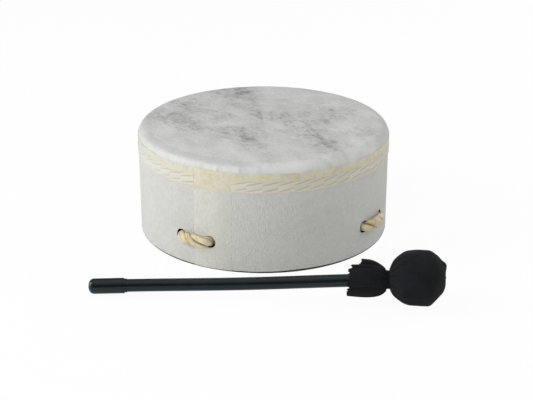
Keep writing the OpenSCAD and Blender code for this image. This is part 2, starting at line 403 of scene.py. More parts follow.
    def random(self, number: Term, seed: Term) -> Term:
        """Random value from 0 to 1 for each number."""
        inputs = {2: 0.0, 3: 1.0, 7: number, 8: seed}
        return self.term("FunctionNodeRandomValue", inputs, 1, data_type="FLOAT")

    def stored(self, geometry: Term, name: str, value: Term) -> Term:
        """Stores a value on a geometry's points.

        Args:
            geometry: The geometry.
            name: The attribute's name.
            value: A number or a vector.

        Returns:
            The geometry with its attribute.
        """
        kind = "FLOAT_VECTOR" if value.socket.type == "VECTOR" else "FLOAT"
        inputs = {"Geometry": geometry, "Name": name, "Value": value}
        return self.geo("StoreNamedAttribute", inputs, data_type=kind, domain="POINT")

    def captured(self, geometry: Term, **values: Term) -> list[Term]:
        """Carries values along on a geometry's points.

        Args:
            geometry: The geometry.
            values: The values by name.

        Returns:
            The geometry, and each value as it was here.
        """
        made = self.node("GeometryNodeCaptureAttribute", {0: geometry}, domain="POINT")
        for label, value in values.items():
            made.capture_items.new("VECTOR" if value.socket.type == "VECTOR" else "FLOAT", label)
            self.feed(made.inputs[label], value)
        return [Term(self, made.outputs[place]) for place in range(len(values) + 1)]


@lru_cache
def fibre_streaks() -> Tree:
    """Makes the group for fibres that run along X of the vector.

    Returns:
        The group's tree, which gives a value about 0.5.
    """
    graph = Graph.group("Fibre Streaks", "Shader", {"Vector": "Vector", "Along": 0.01, "Across": 0.001})
    vector, along, across = graph.given.values()
    fine = 1.0 / across
    placed = graph.vector("MULTIPLY", vector, graph.joined(1.0 / along, fine, fine))
    mixed = graph.mixed(graph.noise(placed, 1.0, 2.0, 0.6), graph.noise(placed, 2.7, 1.0), 0.65)
    return graph.close({"Value": graph.spread(mixed, 0.3, 0.7)})


@lru_cache
def tone_drift() -> Tree:
    """Makes the group for a slow change of tone over a surface.

    Returns:
        The group's tree, which gives a value from 0 to 1.
    """
    graph = Graph.group("Tone Drift", "Shader", {"Vector": "Vector", "Size": 0.03, "Detail": 3.0})
    vector, size, detail = graph.given.values()
    tone = graph.noise(vector, 1.0 / size, detail, bend=0.35)
    return graph.close({"Value": graph.spread(tone, 0.3, 0.7)})


@lru_cache
def woven_threads() -> Tree:
    """Makes the group for a plain weave on two lengths.

    Returns:
        The group's tree, which gives a height and a mask of the gaps.
    """
    graph = Graph.group("Woven Threads", "Shader", {"U": 0.0, "V": 0.0, "Pitch": 0.0006})
    u, v = (graph.given[label] / graph.given["Pitch"] for label in "UV")
    warp, weft = (abs(graph.math("SINE", length * math.pi)) for length in (u, v))
    over = graph.math("PINGPONG", graph.math("FLOOR", u) + graph.math("FLOOR", v), 1.0)
    gap = graph.spread(graph.math("MINIMUM", warp, weft), 0.3, 0.0)
    return graph.close({"Height": over * warp + (1.0 - over) * weft, "Gap": gap})


@dataclass(frozen=True)
class Finish:
    """A finish: a name and a colour, dressed by its own kind."""

    name: str
    color: Color

    @lru_cache
    def material(self) -> bpy.types.Material:
        """Makes the finish's material, once.

        Returns:
            The material.
        """
        made = bpy.data.materials.new(self.name)
        graph = Graph.fresh(made)
        shader = graph.term("ShaderNodeBsdfPrincipled", self.dress(graph))
        graph.node("ShaderNodeOutputMaterial", {"Surface": shader})
        return made

    def dress(self, graph: Graph) -> Feeds:
        """Works out what feeds the shader.

        Args:
            graph: The material under construction.

        Returns:
            A number, a colour or a term for each socket that isn't left alone.
        """
        return {"Base Color": self.color}


def left_side_shade(graph: Graph) -> Term:
    """How far the painted shade on the drum's left side reaches, 0 to 1."""
    return graph.spread(graph.from_axis()[0], *LEFT_SHADE_REACH)


class Patch(NamedTuple):
    """A darker patch of the film: place from the axis and reach in mm, and strength."""

    x: float
    y: float
    reach: float
    share: float


class EdgeLightPatch(NamedTuple):
    """A stretch of the film's edge with a painted highlight in a paler colour, or painted shade in a darker
    one: bearings, radii in mm, colour and strength.
    """

    first: float
    last: float
    inner: float
    outer: float
    color: Color
    share: float


@dataclass(frozen=True)
class FilmFinish(Finish):
    """Cloudy drumhead film: grey spots that crowd in patches, and a clean pale rim, with painted shade and a
    painted highlight laid over it.

    The layers are clouds, blotches, spots and grain: each has its size, its detail, its share
    of the tone, and what a dense patch adds to that share.
    """

    dark: Color
    rim: Color
    rim_mottle_and_shade: Color
    left_shaded_rim: Color
    patches: tuple[Patch, ...]
    edges: tuple[EdgeLightPatch, ...]
    layers: Rows = (
        (34 * MM, 3.0, 0.18, 0.0),
        (13 * MM, 4.0, 0.21, 0.16),
        (5.5 * MM, 4.0, 0.21, 0.30),
        (2.0 * MM, 2.0, 0.15, 0.14),
    )
    stretch: float = 1.55
    turn: float = -56.0
    ragged: float = 15 * MM
    reach: float = 95 * MM
    bend_from: float = 93 * MM
    rim_from: float = 99.2 * MM
    rim_to: float = 101.2 * MM
    edge_fade: float = 9.0
    inner_fade: float = 4.5 * MM
    outer_fade: float = 1.8 * MM
    base: Span = (-0.15, -0.08)
    spot_from: float = 0.75
    spot_drop: float = 0.6
    spot_span: float = 0.7
    dusk_share: float = 0.09
    rim_mottle_from: float = 0.45
    left_shade_share: float = 0.5
    patch_span: Span = (1.3, 0.2)

    def dress(self, graph: Graph) -> Feeds:
        """Works out what feeds the shader, as Finish.dress says."""
        x, y, _ = graph.from_axis()
        inputs = {"Vector": graph.joined(x, y), "Rotation": (0.0, 0.0, math.radians(-self.turn))}
        turned = graph.term("ShaderNodeMapping", inputs)
        placed = graph.vector("MULTIPLY", turned, (1.0 / self.stretch, 1.0, 1.0))
        tones = [graph.drift(placed, size, detail) for size, detail, _, _ in self.layers]
        spots, grain = tones[2:]
        dense = self.dusk(graph, placed)
        least = self.spot_from - dense * self.spot_drop
        tones[2] = graph.spread(spots, least, least + self.spot_span)
        # Painted shade: the tone rises from the front of the head to its back, so the back is darker.
        tone = graph.spread(y, -self.reach, self.reach, *self.base)
        for (_, _, share, crowded), value in zip(self.layers, tones):
            tone = value * (dense * crowded + share) + tone
        mask = graph.math("MULTIPLY_ADD", dense, self.dusk_share, tone, clamp=True)
        color = graph.blend(mask, self.color, self.dark)
        radius = graph.radius()
        # The spots go on over the rim as mottle; on the upright collar they run down in streaks that paint
        # the shade of creases.
        rim = graph.blend(graph.spread(spots, self.rim_mottle_from, 1.0), self.rim, self.rim_mottle_and_shade)
        color = graph.blend(graph.spread(radius, self.rim_from, self.rim_to), color, rim)
        # Painted shade: the film's bend is darker and greyer on the drum's left side.
        bend_shade = graph.spread(radius, self.bend_from, self.rim_from, 0.0, self.left_shade_share)
        color = graph.blend(bend_shade * left_side_shade(graph), color, self.left_shaded_rim)
        return {
            "Base Color": self.edged(graph, color, radius),
            "Roughness": graph.between(grain, 0.5, 0.62),
            "Specular IOR Level": 0.22,
            "Normal": graph.bump(grain, 0.03 * MM),
        }

    def edged(self, graph: Graph, color: Term, radius: Term) -> Term:
        """Lays the painted shade and painted highlight stretches of the edge over the colour, faded at their
        ends and sides.

        Args:
            graph: The material under construction.
            color: The film's colour.
            radius: Distance from the drum's axis.

        Returns:
            The colour.
        """
        turn, _ = graph.around(1.0)
        for patch in self.edges:
            first, last, soft = (math.radians(v) for v in (patch.first, patch.last, self.edge_fade))
            inner, outer = patch.inner * MM, patch.outer * MM
            near = graph.spread(turn, first - soft, first, 0.0, patch.share)
            near *= graph.spread(turn, last + soft, last)
            near *= graph.spread(radius, inner - self.inner_fade, inner)
            near *= graph.spread(radius, outer + self.outer_fade, outer)
            color = graph.blend(near, color, patch.color)
        return color

    def dusk(self, graph: Graph, placed: Term) -> Term:
        """Works out how densely the spots crowd, with ragged outlines.

        Args:
            graph: The material under construction.
            placed: Place along and across the film's run.

        Returns:
            The density, 0 to 1.
        """
        wander = graph.noise(placed, 1.0 / (1.5 * self.ragged), 4.0, out="Color")
        wander = graph.vector("SUBTRACT", wander, (0.5, 0.5, 0.5))
        wander = graph.vector("MULTIPLY", wander, (2 * self.ragged, 2 * self.ragged, 0.0))
        spot = graph.vector("ADD", placed, wander)
        turn = Matrix.Rotation(math.radians(-self.turn), 3, "Z")
        total: Value = 0.0
        for patch in self.patches:
            middle = turn @ Vector((patch.x * MM, patch.y * MM, 0.0))
            gap = graph.vector("DISTANCE", spot, (middle.x / self.stretch, middle.y, 0.0))
            edge, core = (share * patch.reach * MM for share in self.patch_span)
            near = graph.spread(gap, edge, core, 0.0, patch.share)
            total = graph.math("ADD", near, total, clamp=True)
        return total


@dataclass(frozen=True)
class ShellFabricFinish(Finish):
    """Thin fibrous fabric with short upright fibres."""

    fleck: Color
    fibre_along: float = 2.9 * MM
    fibre_across: float = 1.0 * MM
    relief: float = 0.66 * MM
    patch: float = 9 * MM
    fibre_share: float = 0.85

    def dress(self, graph: Graph) -> Feeds:
        """Works out what feeds the shader, as Finish.dress says."""
        here = graph.here()
        x, y, z = graph.parts(here)
        fibres = graph.fibres(graph.joined(z, x, y), self.fibre_along, self.fibre_across)
        tone = graph.mixed(fibres, graph.drift(here, self.patch, 5.0), self.fibre_share)
        color = graph.blend(tone, self.fleck, self.color)
        return {
            "Base Color": self.marked(graph, color, tone, fibres),
            "Roughness": graph.between(fibres, 0.95, 0.8),
            "Sheen Weight": 0.05,
            "Sheen Roughness": 0.5,
            "Specular IOR Level": 0.2,
            "Normal": graph.bump(self.raised(graph, fibres), self.relief),
        }

    def marked(self, graph: Graph, color: Term, tone: Term, fibres: Term) -> Term:
        """The fabric's colour with what is special on it, which is nothing here."""
        return color

    def raised(self, graph: Graph, fibres: Term) -> Term:
        """The fibres' height, which is the same all over here."""
        return fibres


@dataclass(frozen=True)
class SeamStripFinish(ShellFabricFinish):
    """The same fabric in cream: tan at its top, and fading out towards its right edge."""

    upper: Color = (0.7, 0.66, 0.5, 1.0)
    faded: Color = (0.6, 0.6, 0.6, 1.0)
    warm: Color = (0.65, 0.6, 0.4, 1.0)
    upper_from: float = 65.6 * MM
    fade: Span = (-21.0, -14.0)
    upper_tones: Span = (0.3, 0.8)
    upper_relief: float = 0.6

    def marked(self, graph: Graph, color: Term, tone: Term, fibres: Term) -> Term:
        """Fades the strip on its right, and makes it tan above a ragged line.

        Args:
            graph: The material under construction.
            color: The fabric's colour.
            tone: The fabric's tone, 0 to 1.
            fibres: The fibres' height.

        Returns:
            The strip's colour.
        """
        first, last = (math.radians(bearing) for bearing in self.fade)
        turn, z = graph.around(1.0)
        ragged = fibres * (0.5 * (last - first)) + turn
        color = graph.blend(graph.spread(ragged, first, last), color, self.faded)
        patchy = graph.drift(graph.here(), 4 * MM, 3.0)
        top = graph.blend(graph.spread(patchy, 0.2, 0.8), self.upper, self.warm)
        top = graph.blend(graph.between(tone, *self.upper_tones), self.fleck, top)
        rise = fibres * (1.2 * MM) + z
        return graph.blend(graph.spread(rise, self.upper_from, self.upper_from + 1.6 * MM), color, top)

    def raised(self, graph: Graph, fibres: Term) -> Term:
        """The fibres' height, which is lower on the smoother top."""
        z = graph.parts(graph.here())[2]
        return fibres * graph.spread(z, self.upper_from, self.upper_from + 3 * MM, 1.0, self.upper_relief)


def lapped(graph: Graph, color: Term, ragged: Term) -> Term:
    """Turns a band tan over a ragged border beside the seam strip, and lays painted shade over its left
    side.

    Args:
        graph: The material under construction.
        color: The band's colour.
        ragged: Value of 0 to 1 that breaks the border up.

    Returns:
        The colour.
    """
    start, first, last = (math.radians(bearing) for bearing in LAP_BEARINGS)
    turn, _ = graph.around(1.0)
    reach = ragged * (0.7 * (last - first)) + turn
    near = graph.spread(reach, last, first) * graph.spread(turn, start, first)
    color = graph.blend(near, color, LAP_TAN)
    # Painted shade: the band turns greyer and darker on the drum's left side.
    return graph.blend(left_side_shade(graph) * 0.7, color, LEFT_SHADE_BAND)


@dataclass(frozen=True)
class TapeFinish(Finish):
    """Plain woven tape with warmer stretches, a worn top edge and faint upright creases."""

    warm: Color
    crease: Color
    film: Color
    radius: float = 102.5 * MM
    thread: float = 0.55 * MM
    crease_every: float = 16.5 * MM
    top: float = 82 * MM
    worn: float = 1.7 * MM
    patch: float = 5 * MM
    stretch: float = 9 * MM
    stretch_from: float = 0.55
    stretch_share: float = 0.5
    crease_stray: float = 5 * MM
    crease_span: Span = (0.6 * MM, 0.1 * MM)
    crease_share: float = 0.35
    gap_share: float = 0.25

    def dress(self, graph: Graph) -> Feeds:
        """Works out what feeds the shader, as Finish.dress says."""
        u, v = graph.around(self.radius)
        height, gap = graph.weave(u, v, self.thread)
        here = graph.here()
        drift, patchy = graph.drift(here, self.patch, 4.0), graph.drift(here, self.stretch, 3.0)
        step = graph.math("PINGPONG", u + drift * self.crease_stray, self.crease_every / 2)
        color = graph.blend(drift, self.color, self.warm)
        for mask in (
            graph.spread(patchy, self.stretch_from, 1.0, 0.0, self.stretch_share),
            graph.spread(step, *self.crease_span) * self.crease_share,
            gap * self.gap_share,
        ):
            color = graph.blend(mask, color, self.crease)
        bare = graph.spread(drift * self.worn + v, self.top - 0.1 * MM, self.top + 0.9 * MM)
        return {
            "Base Color": lapped(graph, graph.blend(bare, color, self.film), drift),
            "Roughness": graph.between(height, 0.92, 0.78),
            "Sheen Weight": 0.03,
            "Specular IOR Level": 0.3,
            "Normal": graph.bump(height, 0.08 * MM),
        }


@dataclass(frozen=True)
class TrimBackingFinish(ShellFabricFinish):
    """The cloth under the trim's strands, which turns tan beside the seam strip. It is darker than the
    strands, which paints shade in the gaps between their rows.
    """

    def marked(self, graph: Graph, color: Term, tone: Term, fibres: Term) -> Term:
        """The backing's colour with the tan border."""
        return lapped(graph, color, fibres)


@dataclass(frozen=True)
class StrandFinish(Finish):
    """Flat strands of the trim: each has its own tone, with fibres along it."""

    pale: Color
    fleck: Color
    radius: float = 102.9 * MM

    def dress(self, graph: Graph) -> Feeds:
        """Works out what feeds the shader, as Finish.dress says."""
        fibres = graph.fibres(graph.joined(*graph.around(self.radius)), 5 * MM, 0.45 * MM)
        color = graph.blend(graph.tone(), self.color, self.pale)
        color = graph.blend(graph.between(fibres, 0.6, 0.0), color, self.fleck)
        return {
            "Base Color": lapped(graph, color, fibres),
            "Roughness": graph.between(fibres, 0.9, 0.72),
            "Sheen Weight": 0.03,
            "Specular IOR Level": 0.3,
            "Normal": graph.bump(fibres, 0.09 * MM),
        }


@dataclass(frozen=True)
class CordFinish(Finish):
    """Laid rope, cord or thread: fibres along each strand, and painted shade where strands meet."""

    pale: Color
    groove_shade: Color
    stain_and_shade: Color
    strand_r: float
    fibre: float
    sheen: float = 0.1
    rubbed_and_shaded: float = 0.0
    rub_shade_outside: Span = (108 * MM, 103 * MM)
    rub_shade_inside: Span = (88 * MM, 98 * MM)
    fibre_share: float = 0.6
    stain_from: float = 0.5
    stain_share: float = 0.7
    groove_shade_span: Span = (0.4, -0.4)
    dark_below: float = 0.36
    dark_share: float = 0.7

    def dress(self, graph: Graph) -> Feeds:
        """Works out what feeds the shader, as Finish.dress says."""
        out, side, along = graph.lay()
        own = graph.tone()
        apart = graph.joined(along + own * 7.0, out * self.strand_r, side * self.strand_r)
        fibres = graph.fibres(apart, 14 * self.fibre, self.fibre)
        drift = graph.drift(apart, 5 * self.strand_r, 2.0)
        stains = graph.drift(graph.here(), 7 * self.strand_r, 3.0)
        color = graph.blend(graph.mixed(fibres, drift, self.fibre_share), self.color, self.pale)
        color = graph.blend(own * (self.rubbed_and_shaded / 2), color, self.stain_and_shade)
        # Darker close to the drum's wall: rubbed dirt, and painted shade where the rope lies against it.
        radius = graph.radius()
        soiled_and_shaded = graph.spread(radius, *self.rub_shade_outside) * self.rubbed_and_shaded
        soiled_and_shaded *= graph.spread(radius, *self.rub_shade_inside)
        stained = graph.spread(stains, self.stain_from, 1.0, 0.0, self.stain_share)
        soiled_and_shaded = graph.math("MAXIMUM", soiled_and_shaded, stained)
        color = graph.blend(soiled_and_shaded, color, self.stain_and_shade)
        # Painted shade on each strand's inner side, where it meets the others.
        inner_shade = graph.spread(out, *self.groove_shade_span)
        dark = graph.spread(fibres, self.dark_below, 0.0, 0.0, self.dark_share)
        return {
            "Base Color": graph.blend(graph.math("MAXIMUM", inner_shade, dark), color, self.groove_shade),
            "Roughness": graph.between(fibres, 0.9, 0.62),
            "Sheen Weight": self.sheen,
            "Specular IOR Level": 0.3,
            "Normal": graph.bump(fibres, 0.5 * self.fibre),
        }


@dataclass(frozen=True)
class BlackRodFinish(Finish):
    """Drawn black rod: long faint lines in a satin gloss."""

    worn: Color
    gloss: Color
    radius: float = 4.75 * MM

    def dress(self, graph: Graph) -> Feeds:
        """Works out what feeds the shader, as Finish.dress says."""
        out, side, along = graph.lay()
        ring = graph.joined(along, out * self.radius, side * self.radius)
        lines = graph.fibres(ring, 40 * MM, 0.5 * MM)
        mask = lines * graph.drift(graph.here(), 9 * MM, 5.0)
        return {
            "Base Color": graph.blend(mask, self.color, self.worn),
            "Roughness": graph.between(mask, 0.2, 0.34),
            "Specular IOR Level": 0.42,
            "Specular Tint": self.gloss,
            "Normal": graph.bump(lines, 0.012 * MM),
        }


@dataclass(frozen=True)
class RubberFinish(Finish):
    """Moulded rubber: fine grain, with a little dust in it, and pale flecks at one end."""

    dust: Color
    gloss: Color
    rough: float = 0.4
    tip_fleck: Color = (0.4, 0.4, 0.42, 1.0)
    tip_fleck_at: float = -243.5 * MM
    tip_fleck_share: float = 0.0
    grain_scale: float = 2600.0
    fleck_scale: float = 700.0
    fleck_span: Span = (0.54, 0.64)
    tip_fleck_reach: Span = (3.6 * MM, 1.5 * MM)

    def dress(self, graph: Graph) -> Feeds:
        """Works out what feeds the shader, as Finish.dress says."""
        here = graph.here()
        grain = graph.noise(here, self.grain_scale, 3.0, 0.6)
        dusty = graph.spread(grain, 0.5, 0.75) * graph.drift(here, 6 * MM, 4.0)
        color = graph.blend(dusty, self.color, self.dust)
        flecks = graph.noise(here, self.fleck_scale, 3.0, 0.6)
        flecks = graph.spread(flecks, *self.fleck_span, 0.0, self.tip_fleck_share)
        # Pale flecks near the tip.
        near = graph.spread(graph.lay()[2], *(self.tip_fleck_at + far for far in self.tip_fleck_reach))
        return {
            "Base Color": graph.blend(flecks * near, color, self.tip_fleck),
            "Roughness": graph.spread(grain, 0.3, 0.7, self.rough - 0.05, self.rough + 0.1),
            "Specular IOR Level": 0.44,
            "Specular Tint": self.gloss,
            "Normal": graph.bump(grain, 0.03 * MM),
        }


@dataclass(frozen=True)
class ClothFinish(Finish):
    """Brushed cloth or felt: short fibres every way over a fine weave."""

    nap: Color
    thread: float = 0.5 * MM
    relief: float = 0.12 * MM
    sheen: float = 0.04
    radius: float = 14 * MM
    patch: float = 8 * MM
    fuzz_scale: float = 1500.0
    fuzz_span: Span = (0.35, 0.7)
    fuzz_share: float = 0.6
    gap_tone: float = 0.55
    weave_share: float = 0.35

    def dress(self, graph: Graph) -> Feeds:
        """Works out what feeds the shader, as Finish.dress says."""
        here = graph.here()
        out, side, along = graph.lay()
        turn = graph.math("ARCTAN2", side, out)
        height, gap = graph.weave(turn * self.radius, along, self.thread)
        fuzz = graph.noise(here, self.fuzz_scale, 4.0, 0.65)
        tone = graph.spread(fuzz, *self.fuzz_span)
        tone = graph.mixed(tone, graph.drift(here, self.patch, 3.0), self.fuzz_share)
        tone *= graph.between(gap, 1.0, self.gap_tone)
        return {
            "Base Color": graph.blend(tone, self.color, self.nap),
            "Roughness": graph.spread(fuzz, 0.3, 0.7, 0.98, 0.86),
            "Sheen Weight": self.sheen,
            "Sheen Roughness": 0.45,
            "Specular IOR Level": 0.08,
            "Normal": graph.bump(graph.mixed(height, fuzz, self.weave_share), self.relief),
        }


@dataclass(frozen=True)
class FibreShellFinish(Finish):
    """Pressed fibre shell: wound layers show as rings on its edge, fibres on its walls."""

    pale: Color
    layer: float = 0.85 * MM
    grain_scale: float = 900.0
    fibre_share: float = 0.6
    ring_share: float = 0.55

    def dress(self, graph: Graph) -> Feeds:
        """Works out what feeds the shader, as Finish.dress says."""
        x, y, z = graph.from_axis()
        radius = graph.radius()
        wound = graph.joined(graph.math("ARCTAN2", x, y) * 0.1, radius, z)
        fibres = graph.fibres(wound, 9 * MM, 0.8 * MM)
        rings = graph.math("PINGPONG", radius + fibres * (0.2 * MM), self.layer / 2)
        grain = graph.noise(wound, self.grain_scale, 3.0, 0.6)
        tone = graph.mixed(fibres, grain, self.fibre_share)
        color = graph.blend(tone, self.color, self.pale)
        darker = graph.blend(self.ring_share, color, self.color)
        return {
            "Base Color": graph.blend(graph.spread(rings, 0.16 * MM, 0.05 * MM), color, darker),
            "Roughness": graph.between(tone, 0.9, 0.7),
            "Normal": graph.bump(tone, 0.1 * MM),
        }


LAP_TAN = tint(215, 208, 183)
# Painted shade on the drum's left side: its colour and its reach.
LEFT_SHADE_BAND = tint(201, 202, 196)
LEFT_SHADE_REACH = (-54 * MM, -96 * MM)
LAP_BEARINGS = (-23.0, -13.5, -8.0)
PATCHES = (
    Patch(-45, 50, 62, 0.24), Patch(28, 8, 48, 0.05), Patch(-20, 84, 15, 0.72),
    Patch(-22, 62, 13, 0.4), Patch(-78, 10, 20, 0.62), Patch(-56, -12, 14, 0.5),
    Patch(-64, 43, 15, 0.4), Patch(18, 16, 18, 0.42), Patch(2, 9, 12, 0.32),
    Patch(27, -3, 12, 0.15), Patch(60, 23, 14, 0.6), Patch(50, 5, 14, 0.45),
    Patch(35, -30, 18, 0.6), Patch(50, -55, 15, 0.55), Patch(-19, -34, 20, 0.64),
    Patch(-5, -62, 14, 0.35), Patch(-35, 18, 11, 0.35), Patch(78, -24, 14, 0.45),
)
# Painted light on the film's edge: shade at the front left, a highlight just right of the front, and shade
# on the right.
EDGE_LIGHT_PATCHES = (
    EdgeLightPatch(-68, -8, 97.0, 98.9, tint(178, 179, 176), 0.5),
    EdgeLightPatch(8, 18, 99.4, 101.6, tint(226, 226, 223), 0.6),
    EdgeLightPatch(66, 84, 101.0, 103.0, tint(188, 188, 185), 0.7),
)
FILM = FilmFinish(
    "drumhead_film", tint(216, 216, 214), tint(119, 119, 119), tint(210, 210, 207),
    tint(199, 199, 196), tint(192, 193, 189), PATCHES, EDGE_LIGHT_PATCHES,
)
WRAP = ShellFabricFinish("shell_fabric", tint(218, 218, 214), tint(198, 198, 193))
STRIP = SeamStripFinish(
    "seam_strip_fabric", tint(226, 226, 216), tint(205, 205, 195),
    upper=tint(225, 215, 191), faded=tint(210, 209, 202), warm=tint(213, 201, 162),
)
TAPE = TapeFinish(
    "tan_tape", tint(219, 218, 207), tint(216, 207, 172), tint(194, 179, 144), tint(206, 206, 200)
)
STRANDS = StrandFinish("trim_strands", tint(212, 209, 195), tint(219, 217, 206), tint(196, 190, 173))
# The backing's darker colour paints shade in the gaps between the strands' rows.
BACKING = TrimBackingFinish("trim_backing", tint(194, 188, 171), tint(176, 170, 153), relief=0.1 * MM)
ROPE = CordFinish(
    "grip_rope", tint(226, 213, 177), tint(244, 237, 217), tint(150, 124, 84), tint(200, 180, 126),
    1.9 * MM, 0.3 * MM, rubbed_and_shaded=0.45,
)
LASHING = CordFinish(
    "grip_lashing_cord", tint(196, 174, 128), tint(222, 206, 168), tint(104, 78, 46),
    tint(186, 156, 98), 0.75 * MM, 0.18 * MM,
)
THREAD = CordFinish(
    "tie_thread", tint(22, 23, 25), tint(34, 35, 38), tint(12, 12, 13), tint(26, 26, 28),
    0.22 * MM, 0.08 * MM, 0.03,
)
COOL_GLOSS = tint(228, 250, 255)
ROD = BlackRodFinish("black_rod", tint(9, 13, 16), tint(17, 21, 25), COOL_GLOSS)
CAP = RubberFinish("cap_rubber", tint(10, 14, 16), tint(24, 29, 32), COOL_GLOSS, 0.2, tip_fleck_share=0.7)
CORE = RubberFinish("core_rubber", tint(50, 50, 52), tint(74, 74, 76), WHITE, 0.6)
FELT = ClothFinish("felt_padding", tint(128, 125, 120), tint(158, 155, 150), 0.9 * MM, 0.3 * MM)
CLOTH = ClothFinish("black_cover_cloth", tint(22, 23, 26), tint(36, 37, 41))
SHELL = FibreShellFinish("fibre_shell", tint(36, 31, 28), tint(70, 61, 52))


def grid_faces(rows: int, cols: int, close_rows: bool, close_cols: bool) -> Array:
    """Quads of a grid of points.

    Args:
        rows: Number of rows.
        cols: Points in a row.
        close_rows: Whether the last row joins the first.
        close_cols: Whether the last point of a row joins its first.

    Returns:
        One row of four point numbers for each quad.
    """
    i, j = np.meshgrid(
        np.arange(rows if close_rows else rows - 1),
        np.arange(cols if close_cols else cols - 1),
        indexing="ij",
    )
    below, beside = (i + 1) % rows, (j + 1) % cols
    corners = (i * cols + j, below * cols + j, below * cols + beside, i * cols + beside)
    return np.stack(corners, -1).reshape(-1, 4)


def linked(name: str, data: bpy.types.ID) -> Piece:
    """Puts a new object into the scene.

    Args:
        name: The object's name.
        data: Its mesh, camera or lamp.

    Returns:
        The object.
    """
    made = bpy.data.objects.new(name, data)
    bpy.context.scene.collection.objects.link(made)
    return made


def smooth(piece: Piece, sharp: float) -> Piece:
    """Shades a piece smooth.

    Args:
        piece: The piece.
        sharp: Angle in degrees above which an edge stays crisp.

    Returns:
        The same piece.
    """
    piece.data.shade_smooth()
    piece.data.set_sharp_from_angle(angle=math.radians(sharp))
    return piece


def solid(
    name: str, points: Array, faces: Sequence[Sequence[int]], finish: Finish,
    lay: Array | None = None, sharp: float = 40.0,
) -> Piece:
    """Makes a closed piece from points and faces.

    Args:
        name: The piece's name.
        points: Points in the frame, in metres.
        faces: Point numbers of each face.
        finish: The piece's finish.
        lay: Direction out, direction sideways and length along, for each point.
        sharp: Angle in degrees above which an edge stays crisp.

    Returns:
        The object, with doubled points merged and faces turned outwards.
    """
    mesh = bpy.data.meshes.new(name)
    mesh.from_pydata(points.reshape(-1, 3).tolist(), [], [list(map(int, f)) for f in faces])
    if lay is not None:
        made = mesh.attributes.new(LAY, "FLOAT_VECTOR", "POINT")
        made.data.foreach_set("vector", lay.astype(np.float32).ravel())
    work = bmesh.new()
    work.from_mesh(mesh)
    bmesh.ops.remove_doubles(work, verts=work.verts, dist=1e-6)
    bmesh.ops.dissolve_degenerate(work, edges=work.edges, dist=1e-7)
    bmesh.ops.recalc_face_normals(work, faces=work.faces)
    work.to_mesh(mesh)
    work.free()
    mesh.materials.append(finish.material())
    return smooth(linked(name, mesh), sharp)


def settle(piece: Piece) -> Piece:
    """Turns a piece's modifiers into its plain mesh.

    Args:
        piece: A mesh object.

    Returns:
        The same object, with the evaluated mesh and no modifiers.
    """
    graph = bpy.context.evaluated_depsgraph_get()
    made = bpy.data.meshes.new_from_object(
        piece.evaluated_get(graph), preserve_all_data_layers=True, depsgraph=graph
    )
    piece.modifiers.clear()
    piece.data = made
    return piece


def run_tree(name: str, line: Array, closed: bool, tree: Tree, values: Mapping[str, object]) -> Piece:
    """Runs a geometry tree once, on a line of points.

    Args:
        name: The piece's name.
        line: Points that the tree follows.
        closed: Whether the line's end joins its start.
        tree: The geometry tree.
        values: The tree's inputs by name.

    Returns:
        The piece as a plain mesh.
    """
    count = len(line)
    edges = [(i, (i + 1) % count) for i in range(count if closed else count - 1)]
    mesh = bpy.data.meshes.new(name)
    mesh.from_pydata(line.tolist(), edges, [])
    made = linked(name, mesh)
    modifier = made.modifiers.new("Make", "NODES")
    modifier.node_group = tree
    items = [item for item in tree.interface.items_tree if item.item_type == "SOCKET"]
    sockets = {item.name: item.identifier for item in items if item.in_out == "INPUT"}
    for label, value in values.items():
        modifier[sockets[label]] = value
    return settle(made)


def place(piece: Piece, body: Body, slot: Slot, *replaced: str) -> None:
    """Lets a piece ride on its body in the place of CAD nodes.

    Args:
        piece: The finished piece.
        body: The body that it rides on.
        slot: The record's material slot; not used.
        replaced: Names of the CAD nodes that it stands for.
    """
    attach(piece, body.value)
    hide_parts(*replaced)
    LOG.info("%s: %d faces, on %s", piece.name, len(piece.data.polygons), body.value)


